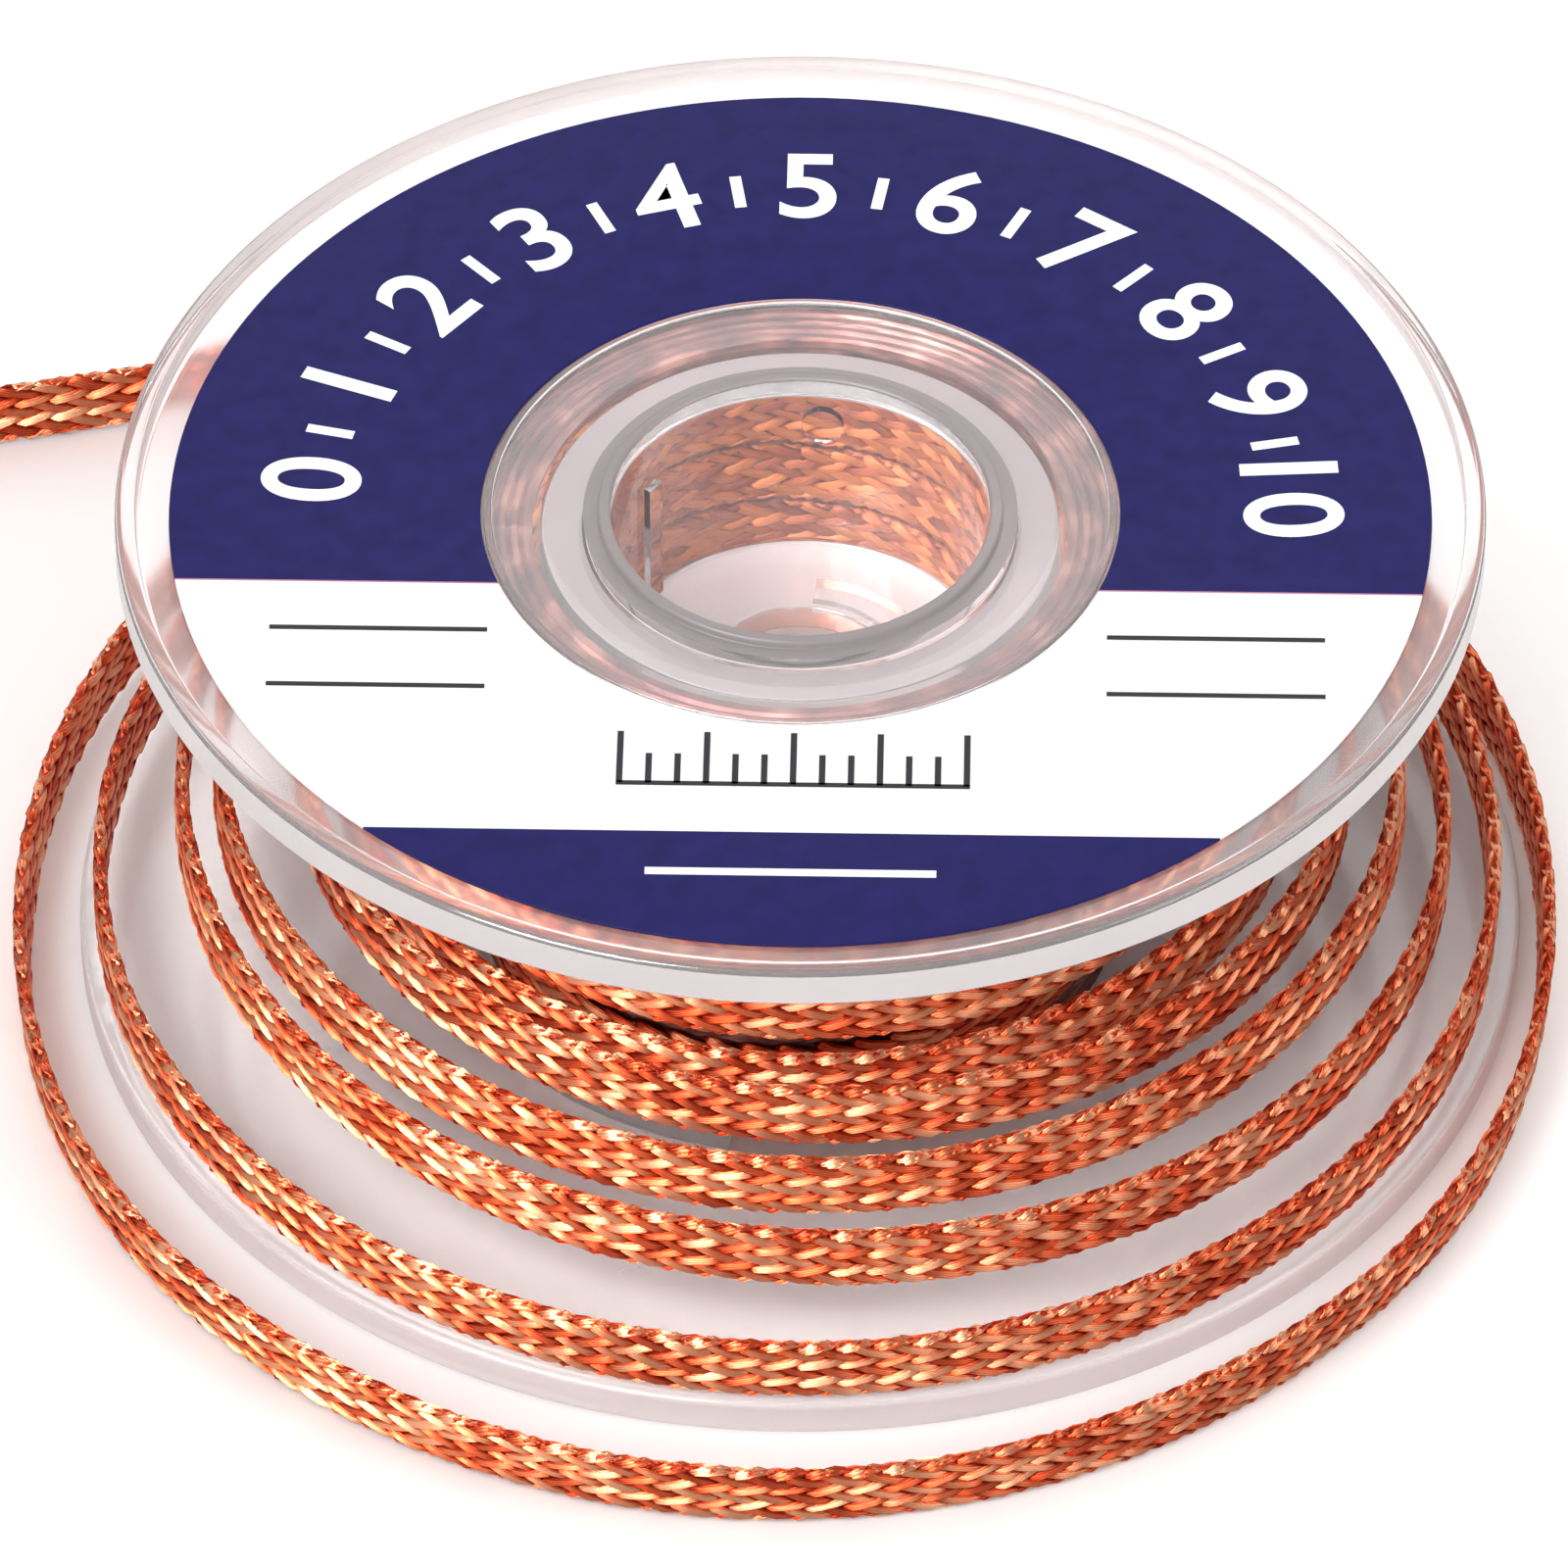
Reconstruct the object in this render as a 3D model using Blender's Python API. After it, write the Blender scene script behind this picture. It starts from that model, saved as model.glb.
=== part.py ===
"""A clear spool of flat copper braid, standing on its larger flange with the last turns sprung loose.

The spool is moulded in two halves: a base with the hub barrel, and a cover with a cup that plugs into it.
A paper label lies in the cover's recess. Most of the braid is still wound on the hub; its last turns
have sprung off as a widening coil that comes down over the base flange and lies round it.
The origin is the middle of the underside, +Z runs up the spool's axis, and -Y is the front.
"""
import math

import bmesh
import bpy
from mathutils import Vector

MM = 0.001

# Spool
HEIGHT = 20.5 * MM
COVER_RADIUS = 24.1 * MM
BASE_RADIUS = 25.9 * MM
FLANGE_THICKNESS = 1.4 * MM
COVER_THICKNESS = 1.55 * MM
EDGE_ROUND = 0.25 * MM
LIP_WIDTH = 0.75 * MM
RECESS_DEPTH = 0.6 * MM
HUB_RADIUS = 9.1 * MM
HUB_WALL = 1.45 * MM
SLEEVE_WALL = 0.85 * MM
SLEEVE_CLEARANCE = 0.12 * MM
CUP_DEPTH = 8.1 * MM
CUP_FLOOR = 1.0 * MM
SPINDLE_RADIUS = 3.2 * MM
BORE_LIP_WIDTH = 0.45 * MM
BORE_LIP_HEIGHT = 0.3 * MM
HALVES_GAP = 0.1 * MM

# Small moulded details of the spool
LOCATING_RING_RADIUS = 11.0 * MM
LOCATING_RING_WIDTH = 0.3 * MM
LOCATING_RING_HEIGHT = 0.2 * MM
FLOOR_POCKETS = 3
POCKET_ANGLE = math.radians(45)
POCKET_START = math.radians(38)
POCKET_WALL = 0.5 * MM
POCKET_WIDTH = 1.1 * MM
POCKET_DEPTH = 0.45 * MM
KEY_ANGLE = math.radians(143)
KEY_WIDTH = 0.7 * MM
KEY_HEIGHT = 0.3 * MM
KEY_TOP_DEPTH = 2.9 * MM
PIP_ANGLE = math.radians(83)
PIP_RADIUS = 0.75 * MM
PIP_HEIGHT = 0.3 * MM
PIP_DEPTH = 2.3 * MM
ANCHOR_SLOT_MIDDLE = math.radians(237)
ANCHOR_SLOT_ANGLE = math.radians(44)
ANCHOR_SLOT_WIDTH = 0.9 * MM
ANCHOR_SLOT_GAP = 0.76 * MM

# Label
LABEL_THICKNESS = 0.1 * MM
LABEL_MARGIN = 1.15 * MM
LABEL_HOLE_MARGIN = 0.1 * MM
LABEL_GAP = 0.05 * MM

# Braid
BRAID_WIDTH = 2.54 * MM
BRAID_THICKNESS = 0.4 * MM
PACK_LAYERS = 5
PACK_LAYER_PITCH = 0.5 * MM
PACK_TURNS = 6
PACK_CLEARANCE = 0.15 * MM
PACK_GROOVE = 0.12 * MM

ROUND_STEPS = 60
STEPS_PER_EIGHTH = 3

# One pair for each eighth of a turn: radius to the braid's outer face, height of its lower edge.
LEAVING_PACK = [(12.3, 14.4), (13.8, 13.4), (15.2, 12.2)]
FIRST_TURN = [(16.2, 11.2), (16.6, 10.7), (16.8, 10.3), (16.7, 10.1),
              (16.6, 9.7), (16.4, 9.2), (16.3, 8.7), (16.3, 8.2)]
SECOND_TURN = [(16.5, 7.8), (16.9, 7.4), (17.3, 7.3), (17.5, 7.3),
               (17.8, 7.3), (17.9, 7.3), (17.9, 7.3), (17.9, 7.3)]
THIRD_TURN = [(18.0, 7.4), (18.2, 7.4), (18.8, 7.2), (19.4, 7.1),
              (19.7, 7.0), (20.0, 7.0), (20.5, 7.0), (20.8, 7.0)]
FOURTH_TURN = [(20.9, 6.9), (20.9, 6.6), (21.3, 6.2), (21.4, 6.1),
               (21.6, 6.1), (21.9, 6.1), (22.1, 6.1), (22.3, 6.0)]
FIFTH_TURN = [(22.3, 5.7), (22.4, 4.8), (22.7, 4.1), (23.0, 3.5),
              (23.3, 3.3), (23.9, 3.0), (24.4, 2.7), (24.8, 2.3)]
SIXTH_TURN = [(25.3, 2.1), (25.6, 1.9), (25.7, 1.6), (25.4, 1.6),
              (25.1, 1.6), (25.7, 1.8), (26.7, 1.9), (27.6, 1.0)]
LAST_TURN = [(28.1, 0.1), (29.6, 0.1), (30.3, 0.1), (28.7, 0.1),
             (27.0, 0.1), (27.7, 0.1), (29.1, 0.1)]
TAIL = [(-8.0, 29.3), (-16.5, 28.7), (-25.2, 26.9), (-30.0, 25.85), (-35.0, 24.9)]
NODE_BREAK_GAP = 0.3 * MM

# Derived sizes
COVER_UNDERSIDE = HEIGHT - COVER_THICKNESS
COVER_FACE = HEIGHT - RECESS_DEPTH
BARREL_TOP = COVER_UNDERSIDE - HALVES_GAP
BARREL_BORE = HUB_RADIUS - HUB_WALL
SLEEVE_OUTER = BARREL_BORE - SLEEVE_CLEARANCE
SLEEVE_BORE = SLEEVE_OUTER - SLEEVE_WALL
RING_OUTER = LOCATING_RING_RADIUS + LOCATING_RING_WIDTH / 2
RING_INNER = LOCATING_RING_RADIUS - LOCATING_RING_WIDTH / 2
FLOOR_TOP = HEIGHT - CUP_DEPTH
FLOOR_UNDERSIDE = FLOOR_TOP - CUP_FLOOR
PACK_INNER = HUB_RADIUS + PACK_CLEARANCE
PACK_OUTER = PACK_INNER + PACK_LAYERS * PACK_LAYER_PITCH
PACK_LOW = FLANGE_THICKNESS + PACK_CLEARANCE
PACK_HIGH = COVER_UNDERSIDE - PACK_CLEARANCE


def clear_scene():
    for item in list(bpy.data.objects):
        bpy.data.objects.remove(item, do_unlink=True)


def make_material(name, color, roughness, metallic=0.0, transmission=0.0):
    material = bpy.data.materials.new(name)
    material.use_nodes = True
    shader = material.node_tree.nodes["Principled BSDF"]
    shader.inputs["Base Color"].default_value = (*color, 1.0)
    shader.inputs["Roughness"].default_value = roughness
    shader.inputs["Metallic"].default_value = metallic
    shader.inputs["Transmission Weight"].default_value = transmission
    return material


def spun_mesh(name, profile, start=0.0, sweep=math.tau, steps=ROUND_STEPS):
    """Turns a closed outline of (radius, height) points about Z, all the way or through an arc."""
    bm = bmesh.new()
    verts = [bm.verts.new((radius * math.cos(start), radius * math.sin(start), height))
             for radius, height in profile]
    edges = [bm.edges.new((verts[i - 1], verts[i])) for i in range(len(verts))]
    bmesh.ops.spin(bm, geom=verts + edges, cent=(0, 0, 0), axis=(0, 0, 1), angle=sweep, steps=steps)
    bmesh.ops.remove_doubles(bm, verts=bm.verts, dist=0.001 * MM)
    bmesh.ops.holes_fill(bm, edges=[edge for edge in bm.edges if edge.is_boundary])
    bmesh.ops.recalc_face_normals(bm, faces=bm.faces)
    mesh = bpy.data.meshes.new(name)
    bm.to_mesh(mesh)
    bm.free()
    return mesh


def add_object(name, data, material=None):
    item = bpy.data.objects.new(name, data)
    bpy.context.collection.objects.link(item)
    if material:
        data.materials.append(material)
    return item


def shade_round(item):
    item.data.shade_smooth()
    item.data.set_sharp_from_angle(angle=math.radians(30))


def add_boolean(item, tool, operation):
    tool.hide_render = True
    tool.display_type = "WIRE"
    modifier = item.modifiers.new(tool.name, "BOOLEAN")
    modifier.operation = operation
    modifier.solver = "EXACT"
    modifier.object = tool


def rounded_edge(radius, low, high, rounding):
    """The outer edge of a flange, from its lower corner to its upper one, both rounded."""
    inset = rounding * (1 - math.sqrt(0.5))
    return [(radius - rounding, low), (radius - inset, low + inset), (radius, low + rounding),
            (radius, high - rounding), (radius - inset, high - inset), (radius - rounding, high)]


def cover_profile():
    bore_lip = SLEEVE_BORE + BORE_LIP_WIDTH
    return [
        (SPINDLE_RADIUS, FLOOR_UNDERSIDE), (SLEEVE_OUTER, FLOOR_UNDERSIDE),
        (SLEEVE_OUTER, COVER_UNDERSIDE),
        *rounded_edge(COVER_RADIUS, COVER_UNDERSIDE, HEIGHT, EDGE_ROUND),
        (COVER_RADIUS - LIP_WIDTH, HEIGHT), (COVER_RADIUS - LIP_WIDTH, COVER_FACE),
        (RING_OUTER, COVER_FACE), (RING_OUTER, COVER_FACE + LOCATING_RING_HEIGHT),
        (RING_INNER, COVER_FACE + LOCATING_RING_HEIGHT), (RING_INNER, COVER_FACE),
        (bore_lip, COVER_FACE), (bore_lip, COVER_FACE + BORE_LIP_HEIGHT),
        (SLEEVE_BORE, COVER_FACE + BORE_LIP_HEIGHT), (SLEEVE_BORE, FLOOR_TOP),
        (SPINDLE_RADIUS, FLOOR_TOP),
    ]


def base_profile():
    return [
        (BARREL_BORE, RECESS_DEPTH),
        (RING_INNER, RECESS_DEPTH), (RING_INNER, RECESS_DEPTH - LOCATING_RING_HEIGHT),
        (RING_OUTER, RECESS_DEPTH - LOCATING_RING_HEIGHT), (RING_OUTER, RECESS_DEPTH),
        (BASE_RADIUS - LIP_WIDTH, RECESS_DEPTH),
        (BASE_RADIUS - LIP_WIDTH, 0.0),
        *rounded_edge(BASE_RADIUS, 0.0, FLANGE_THICKNESS, EDGE_ROUND),
        (HUB_RADIUS, FLANGE_THICKNESS), (HUB_RADIUS, BARREL_TOP), (BARREL_BORE, BARREL_TOP),
    ]


def make_floor_pocket(index):
    """A shallow curved pocket in the cup's floor, one of a ring of them."""
    inner = SPINDLE_RADIUS + POCKET_WALL
    outer = inner + POCKET_WIDTH
    low = FLOOR_TOP - POCKET_DEPTH
    high = FLOOR_TOP + POCKET_DEPTH
    start = POCKET_START + index * math.tau / FLOOR_POCKETS
    outline = [(inner, low), (outer, low), (outer, high), (inner, high)]
    return add_object(f"floor_pocket_{index}", spun_mesh("floor_pocket", outline, start, POCKET_ANGLE, 4))


def make_key_rib():
    """The upright rib on the wall of the cup."""
    low = FLOOR_TOP - CUP_FLOOR / 2
    high = HEIGHT - KEY_TOP_DEPTH
    inner = SLEEVE_BORE - KEY_HEIGHT
    outer = SLEEVE_BORE + SLEEVE_WALL / 2
    bm = bmesh.new()
    bmesh.ops.create_cube(bm, size=1.0)
    bmesh.ops.scale(bm, vec=(outer - inner, KEY_WIDTH, high - low), verts=bm.verts)
    bmesh.ops.translate(bm, vec=((inner + outer) / 2, 0, (low + high) / 2), verts=bm.verts)
    mesh = bpy.data.meshes.new("key_rib")
    bm.to_mesh(mesh)
    bm.free()
    rib = add_object("key_rib", mesh)
    rib.rotation_euler.z = KEY_ANGLE
    return rib


def make_pip():
    """The small round pip on the wall of the cup."""
    inner = SLEEVE_BORE - PIP_HEIGHT
    outer = SLEEVE_BORE + SLEEVE_WALL / 2
    bm = bmesh.new()
    bmesh.ops.create_cone(bm, cap_ends=True, segments=16, radius1=PIP_RADIUS, radius2=PIP_RADIUS,
                          depth=outer - inner)
    mesh = bpy.data.meshes.new("pip")
    bm.to_mesh(mesh)
    bm.free()
    pip = add_object("pip", mesh)
    middle = (inner + outer) / 2
    pip.location = (middle * math.cos(PIP_ANGLE), middle * math.sin(PIP_ANGLE), HEIGHT - PIP_DEPTH)
    pip.rotation_euler = (0, math.pi / 2, PIP_ANGLE)
    return pip


def make_anchor_slot():
    """The arc slot through the base flange, beside the wound braid."""
    inner = PACK_OUTER + ANCHOR_SLOT_GAP
    outer = inner + ANCHOR_SLOT_WIDTH
    outline = [(inner, -FLANGE_THICKNESS), (outer, -FLANGE_THICKNESS),
               (outer, 2 * FLANGE_THICKNESS), (inner, 2 * FLANGE_THICKNESS)]
    start = ANCHOR_SLOT_MIDDLE - ANCHOR_SLOT_ANGLE / 2
    return add_object("anchor_slot", spun_mesh("anchor_slot", outline, start, ANCHOR_SLOT_ANGLE, 6))


def make_cover(material):
    cover = add_object("spool_cover", spun_mesh("spool_cover", cover_profile()), material)
    for index in range(FLOOR_POCKETS):
        add_boolean(cover, make_floor_pocket(index), "DIFFERENCE")
    add_boolean(cover, make_key_rib(), "UNION")
    add_boolean(cover, make_pip(), "UNION")
    shade_round(cover)


def make_base(material):
    base = add_object("spool_base", spun_mesh("spool_base", base_profile()), material)
    add_boolean(base, make_anchor_slot(), "DIFFERENCE")
    shade_round(base)


def make_label(material):
    low = COVER_FACE + LABEL_GAP
    high = low + LABEL_THICKNESS
    inner = RING_OUTER + LABEL_HOLE_MARGIN
    outer = COVER_RADIUS - LIP_WIDTH - LABEL_MARGIN
    outline = [(inner, low), (outer, low), (outer, high), (inner, high)]
    shade_round(add_object("printed_label", spun_mesh("printed_label", outline), material))


def grooved_line(start, end, parts, normal):
    """Points from start to end with a V groove between each two parts, cut against the normal."""
    points = [start]
    run = Vector(end) - Vector(start)
    half = run.normalized() * PACK_GROOVE
    for index in range(1, parts):
        middle = Vector(start) + run * (index / parts)
        for point in (middle - half, middle - Vector(normal) * PACK_GROOVE, middle + half):
            points.append((point.x, point.y))
    return points


def make_pack(material):
    """The wound braid: grooves show its turns on the outside and its layers on both ends."""
    low_in = (PACK_INNER, PACK_LOW)
    low_out = (PACK_OUTER, PACK_LOW)
    high_out = (PACK_OUTER, PACK_HIGH)
    high_in = (PACK_INNER, PACK_HIGH)
    outline = grooved_line(low_in, low_out, PACK_LAYERS, (0, -1))
    outline += grooved_line(low_out, high_out, PACK_TURNS, (1, 0))
    outline += grooved_line(high_out, high_in, PACK_LAYERS, (0, 1))
    outline.append(high_in)
    shade_round(add_object("wound_braid", spun_mesh("wound_braid", outline), material))


def smooth_run(points, steps):
    """A smooth curve through the points, with this many steps from each point to the next."""
    ends = [2 * points[0] - points[1]] + points + [2 * points[-1] - points[-2]]
    curve = []
    for a, b, c, d in zip(ends, ends[1:], ends[2:], ends[3:]):
        for step in range(steps):
            t = step / steps
            curve.append(b + 0.5 * t * (c - a + t * (2 * a - 5 * b + 4 * c - d + t * (3 * (b - c) + d - a))))
    curve.append(points[-1])
    return curve


def braid_route():
    """The middle line of the loose braid, from the wound pack out to its bare end."""
    eighths = (LEAVING_PACK + FIRST_TURN + SECOND_TURN + THIRD_TURN + FOURTH_TURN + FIFTH_TURN
               + SIXTH_TURN + LAST_TURN)
    eighth = math.tau / 8
    first_angle = math.pi - len(LEAVING_PACK) * eighth
    stations = [Vector((first_angle + index * eighth, radius * MM - BRAID_THICKNESS / 2,
                        height * MM + BRAID_WIDTH / 2))
                for index, (radius, height) in enumerate(eighths)]
    turns = [Vector((radius * math.cos(angle), radius * math.sin(angle), height))
             for angle, radius, height in smooth_run(stations, STEPS_PER_EIGHTH)]
    level = turns[-1].z
    tail = [turns[-1 - STEPS_PER_EIGHTH], turns[-1]] + [Vector((x * MM, y * MM, level)) for x, y in TAIL]
    return turns[:-1] + smooth_run(tail, STEPS_PER_EIGHTH)[STEPS_PER_EIGHTH:]


def make_loose_braid(name, points, material):
    """A flat cord standing on edge along the points, its ends capped."""
    curve = bpy.data.curves.new(name, "CURVE")
    curve.dimensions = "3D"
    curve.twist_mode = "Z_UP"
    curve.bevel_depth = BRAID_THICKNESS / 2
    curve.extrude = (BRAID_WIDTH - BRAID_THICKNESS) / 2
    curve.bevel_resolution = 1
    curve.use_fill_caps = True
    spline = curve.splines.new("POLY")
    spline.points.add(len(points) - 1)
    for place, point in zip(spline.points, points):
        place.co = (*point, 1.0)
    add_object(name, curve, material)


def make_loose_braids(material):
    """The loose braid in three lengths that meet end to end."""
    route = braid_route()
    turn = 8 * STEPS_PER_EIGHTH
    first_break = len(LEAVING_PACK) * STEPS_PER_EIGHTH + 2 * turn
    second_break = first_break + 5 * turn // 2
    pieces = {"loose_braid_upper": route[:first_break + 1],
              "loose_braid_middle": route[first_break:second_break + 1],
              "loose_braid_lower": route[second_break:]}
    for name, points in pieces.items():
        if points[-1] is not route[-1]:
            points[-1] = points[-1] + (points[-2] - points[-1]).normalized() * NODE_BREAK_GAP
        make_loose_braid(name, points, material)


def main():
    clear_scene()
    plastic = make_material("clear_plastic", (0.90, 0.85, 0.86), 0.12, transmission=0.8)
    cover_plastic = plastic.copy()
    cover_plastic.name = "cover_plastic"
    paper = make_material("label_paper", (0.04, 0.04, 0.18), 0.35)
    copper = make_material("braid_copper", (0.78, 0.33, 0.15), 0.35, metallic=1.0)
    make_base(plastic)
    make_cover(cover_plastic)
    make_label(paper)
    make_pack(copper)
    make_loose_braids(copper)


main()
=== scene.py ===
# %% [markdown]
# # A spool of flat copper braid
# This lesson dresses a finished CAD model: a clear plastic spool that stands on its larger flange, with
# flat woven copper braid wound on its hub and the last turns sprung loose round it.
# The CAD solids come in as a fixed frame. They give every size and place, so the first cell loads them.

# %% Load the frame
import math

import bmesh
import bpy
from mathutils import Matrix, Vector


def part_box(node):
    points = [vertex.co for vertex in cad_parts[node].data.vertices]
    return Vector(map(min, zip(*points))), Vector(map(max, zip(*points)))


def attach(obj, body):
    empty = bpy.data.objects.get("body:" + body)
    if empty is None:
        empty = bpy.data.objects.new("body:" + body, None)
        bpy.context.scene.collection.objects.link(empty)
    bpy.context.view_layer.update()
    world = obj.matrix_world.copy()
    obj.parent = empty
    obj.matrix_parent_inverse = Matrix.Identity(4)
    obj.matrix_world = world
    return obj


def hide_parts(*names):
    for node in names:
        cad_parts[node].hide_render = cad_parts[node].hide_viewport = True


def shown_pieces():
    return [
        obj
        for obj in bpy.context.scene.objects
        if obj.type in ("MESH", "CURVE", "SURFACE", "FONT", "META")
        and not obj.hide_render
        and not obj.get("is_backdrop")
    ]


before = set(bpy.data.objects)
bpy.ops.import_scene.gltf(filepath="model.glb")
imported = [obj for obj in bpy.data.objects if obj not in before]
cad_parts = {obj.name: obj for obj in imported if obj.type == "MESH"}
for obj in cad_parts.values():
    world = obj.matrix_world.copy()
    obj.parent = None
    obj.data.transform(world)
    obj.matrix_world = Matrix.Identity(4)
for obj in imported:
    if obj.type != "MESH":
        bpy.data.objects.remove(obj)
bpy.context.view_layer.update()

MM = 0.001

# %% [markdown]
# ## Sizes that come from the frame
# A size that can be read from a CAD node is read, so it can't disagree with the solid. Only the small
# features that a bounding box can't show, such as a lip or a recess, are written here again.

# %% Sizes of the spool, the label and the wound braid
cover_low, cover_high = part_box("spool_cover")
base_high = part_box("spool_base")[1]
label_low, label_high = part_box("printed_label")
pack_low, pack_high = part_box("wound_braid")

HEIGHT = cover_high.z
COVER_RADIUS = cover_high.x
BASE_RADIUS = base_high.x
LABEL_RADIUS = label_high.x
PACK_RADIUS = pack_high.x
CUP_UNDERSIDE = cover_low.z
BARREL_TOP = base_high.z

COVER_THICKNESS = 1.55 * MM
FLANGE_THICKNESS = 1.4 * MM
EDGE_ROUND = 0.25 * MM
LIP_WIDTH = 0.75 * MM
RECESS_DEPTH = 0.6 * MM
HUB_RADIUS = 9.1 * MM
BARREL_BORE = 7.65 * MM
SLEEVE_OUTER = 7.53 * MM
SLEEVE_BORE = 6.68 * MM
CUP_FLOOR = 1.0 * MM
SPINDLE_RADIUS = 3.2 * MM
BORE_LIP_WIDTH = 0.45 * MM
BORE_LIP_HEIGHT = 0.3 * MM
RING_RADIUS = 11.0 * MM
RING_WIDTH = 0.3 * MM
RING_HEIGHT = 0.2 * MM
SMALL_FILLET = 0.1 * MM
INNER_FILLET = 0.2 * MM
RIM_FILLET = 0.15 * MM
BORE_LIP_FILLET = 0.12 * MM
TOP_RING_FILLET = 0.08 * MM
FINE_FILLET = 0.05 * MM
BRAID_WIDTH = 2.54 * MM
BRAID_THICKNESS = 0.4 * MM
PACK_INNER = HUB_RADIUS + 0.15 * MM

COVER_FACE = HEIGHT - RECESS_DEPTH
COVER_UNDERSIDE = HEIGHT - COVER_THICKNESS
FLOOR_TOP = CUP_UNDERSIDE + CUP_FLOOR
print(f"spool {HEIGHT / MM:.1f} mm high")
print(f"flanges {2 * COVER_RADIUS / MM:.1f} and {2 * BASE_RADIUS / MM:.1f} mm across")

# %% [markdown]
# ## Camera, lights and floor
# The photograph looks down at about 43 degrees through a long lens from half a metre away, so its
# perspective is weak. The camera is put on that line of sight and turned along it.
# The lights are big soft panels: shiny wire and clear plastic show the shapes of what they reflect, so the
# places of the panels matter more than their strength. The sparkle panel lights nothing matt: only shiny
# wires and edges reflect it. One helper links each new object to the scene, here and later.


# %% Helper for objects
def new_object(name, data):
    """An object with this data, linked to the scene."""
    item = bpy.data.objects.new(name, data)
    bpy.context.collection.objects.link(item)
    return item


# %% Camera
CAMERA_PITCH = math.radians(43.16)
CAMERA_DISTANCE = 550 * MM
CAMERA_TARGET = Vector((-0.576 * MM, 0.0, 6.77 * MM))
FOCAL_PIXELS = 15700
FRAME_PIXELS = 1600

camera_data = bpy.data.cameras.new("camera")
camera_data.sensor_width = 36
camera_data.lens = camera_data.sensor_width * FOCAL_PIXELS / FRAME_PIXELS
camera_data.clip_start = 0.01
camera = new_object("camera", camera_data)
line_of_sight = Vector((0, math.cos(CAMERA_PITCH), -math.sin(CAMERA_PITCH)))
camera.location = CAMERA_TARGET - line_of_sight * CAMERA_DISTANCE
camera.rotation_euler = line_of_sight.to_track_quat("-Z", "Y").to_euler()
bpy.context.scene.camera = camera
bpy.context.scene.view_settings.view_transform = "Standard"
print(f"camera lens {camera_data.lens:.0f} mm at {CAMERA_DISTANCE / MM:.0f} mm")


# %% Lights
LIT_MIDDLE = Vector((0, 0, 10 * MM))


def add_panel(name, place, size, power):
    """A square soft light at a place, turned towards the spool."""
    data = bpy.data.lights.new(name, "AREA")
    data.shape = "SQUARE"
    data.size = size
    data.energy = power
    panel = new_object(name, data)
    panel.location = place
    panel.rotation_euler = (LIT_MIDDLE - Vector(place)).to_track_quat("-Z", "Y").to_euler()
    return panel


add_panel("key_panel", (-0.24, -0.27, 0.42), size=0.25, power=1.1)
add_panel("fill_panel", (0.40, -0.16, 0.30), size=0.26, power=0.9)
add_panel("back_panel", (0.05, 0.40, 0.42), size=0.40, power=0.3)

sparkle = add_panel("sparkle_panel", (-0.25, -0.27, 0.45), size=0.25, power=4.5)
sparkle.visible_diffuse = False
sparkle.visible_transmission = False

# %% [markdown]
# ## Helpers for node trees
# Materials and Geometry Nodes are both trees of nodes. Two small helpers keep the cells that build them
# short: one connects a value or another node to a socket, the other adds a node and fills its sockets in
# order. Only enabled sockets count, because many nodes hide the sockets that their settings don't use. The
# other helpers are built on these two, for steps that nearly every material needs.


# %% Node helpers
NODE_SPACING = (190, -260)
NODES_PER_ROW = 12


def shown(sockets):
    return [socket for socket in sockets if socket.enabled]


def connect(tree, value, socket):
    """Links a node or an output to a socket, or writes a plain value into it. None leaves it alone."""
    if value is None:
        return
    if isinstance(value, bpy.types.Node):
        value = shown(value.outputs)[0]
    if isinstance(value, bpy.types.NodeSocket):
        tree.links.new(value, socket)
    else:
        socket.default_value = value


def add_node(tree, kind, *values, **settings):
    """Adds a node, applies its settings, then fills its sockets in order."""
    node = tree.nodes.new(kind)
    row, column = divmod(len(tree.nodes), NODES_PER_ROW)
    node.location = (NODE_SPACING[0] * column, NODE_SPACING[1] * row)
    for name, value in settings.items():
        setattr(node, name, value)
    for value, socket in zip(values, shown(node.inputs)):
        connect(tree, value, socket)
    return node


def calc(tree, operation, *values):
    return add_node(tree, "ShaderNodeMath", *values, operation=operation)


def vector_calc(tree, operation, *values):
    return add_node(tree, "ShaderNodeVectorMath", *values, operation=operation)


def scaled(tree, vector, factor):
    node = add_node(tree, "ShaderNodeVectorMath", vector, operation="SCALE")
    connect(tree, factor, node.inputs["Scale"])
    return node


def ramp(tree, value, *stops):
    """A colour ramp through the stops, each a position and a colour."""
    node = add_node(tree, "ShaderNodeValToRGB", value)
    elements = node.color_ramp.elements
    while len(elements) < len(stops):
        elements.new(0.5)
    for element, (position, color) in zip(elements, stops):
        element.position = position
        element.color = (*color, 1.0)
    return node


def mixed_color(tree, factor, color_a, color_b):
    """Mixes two colours, and returns the mix node's colour output."""
    node = add_node(tree, "ShaderNodeMix", data_type="RGBA")
    connect(tree, factor, node.inputs["Factor"])
    connect(tree, color_a, node.inputs[6])
    connect(tree, color_b, node.inputs[7])
    return node.outputs[2]


def bumped(tree, shader, height, strength, distance):
    """Lets a height roughen the shader's normal."""
    node = add_node(tree, "ShaderNodeBump")
    connect(tree, height, node.inputs["Height"])
    node.inputs["Strength"].default_value = strength
    node.inputs["Distance"].default_value = distance
    connect(tree, node, shader.inputs["Normal"])


def new_material(name):
    """A material with an empty Principled shader. Returns the material, its tree and the shader."""
    material = bpy.data.materials.new(name)
    material.use_nodes = True
    tree = material.node_tree
    return material, tree, tree.nodes["Principled BSDF"]


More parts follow.
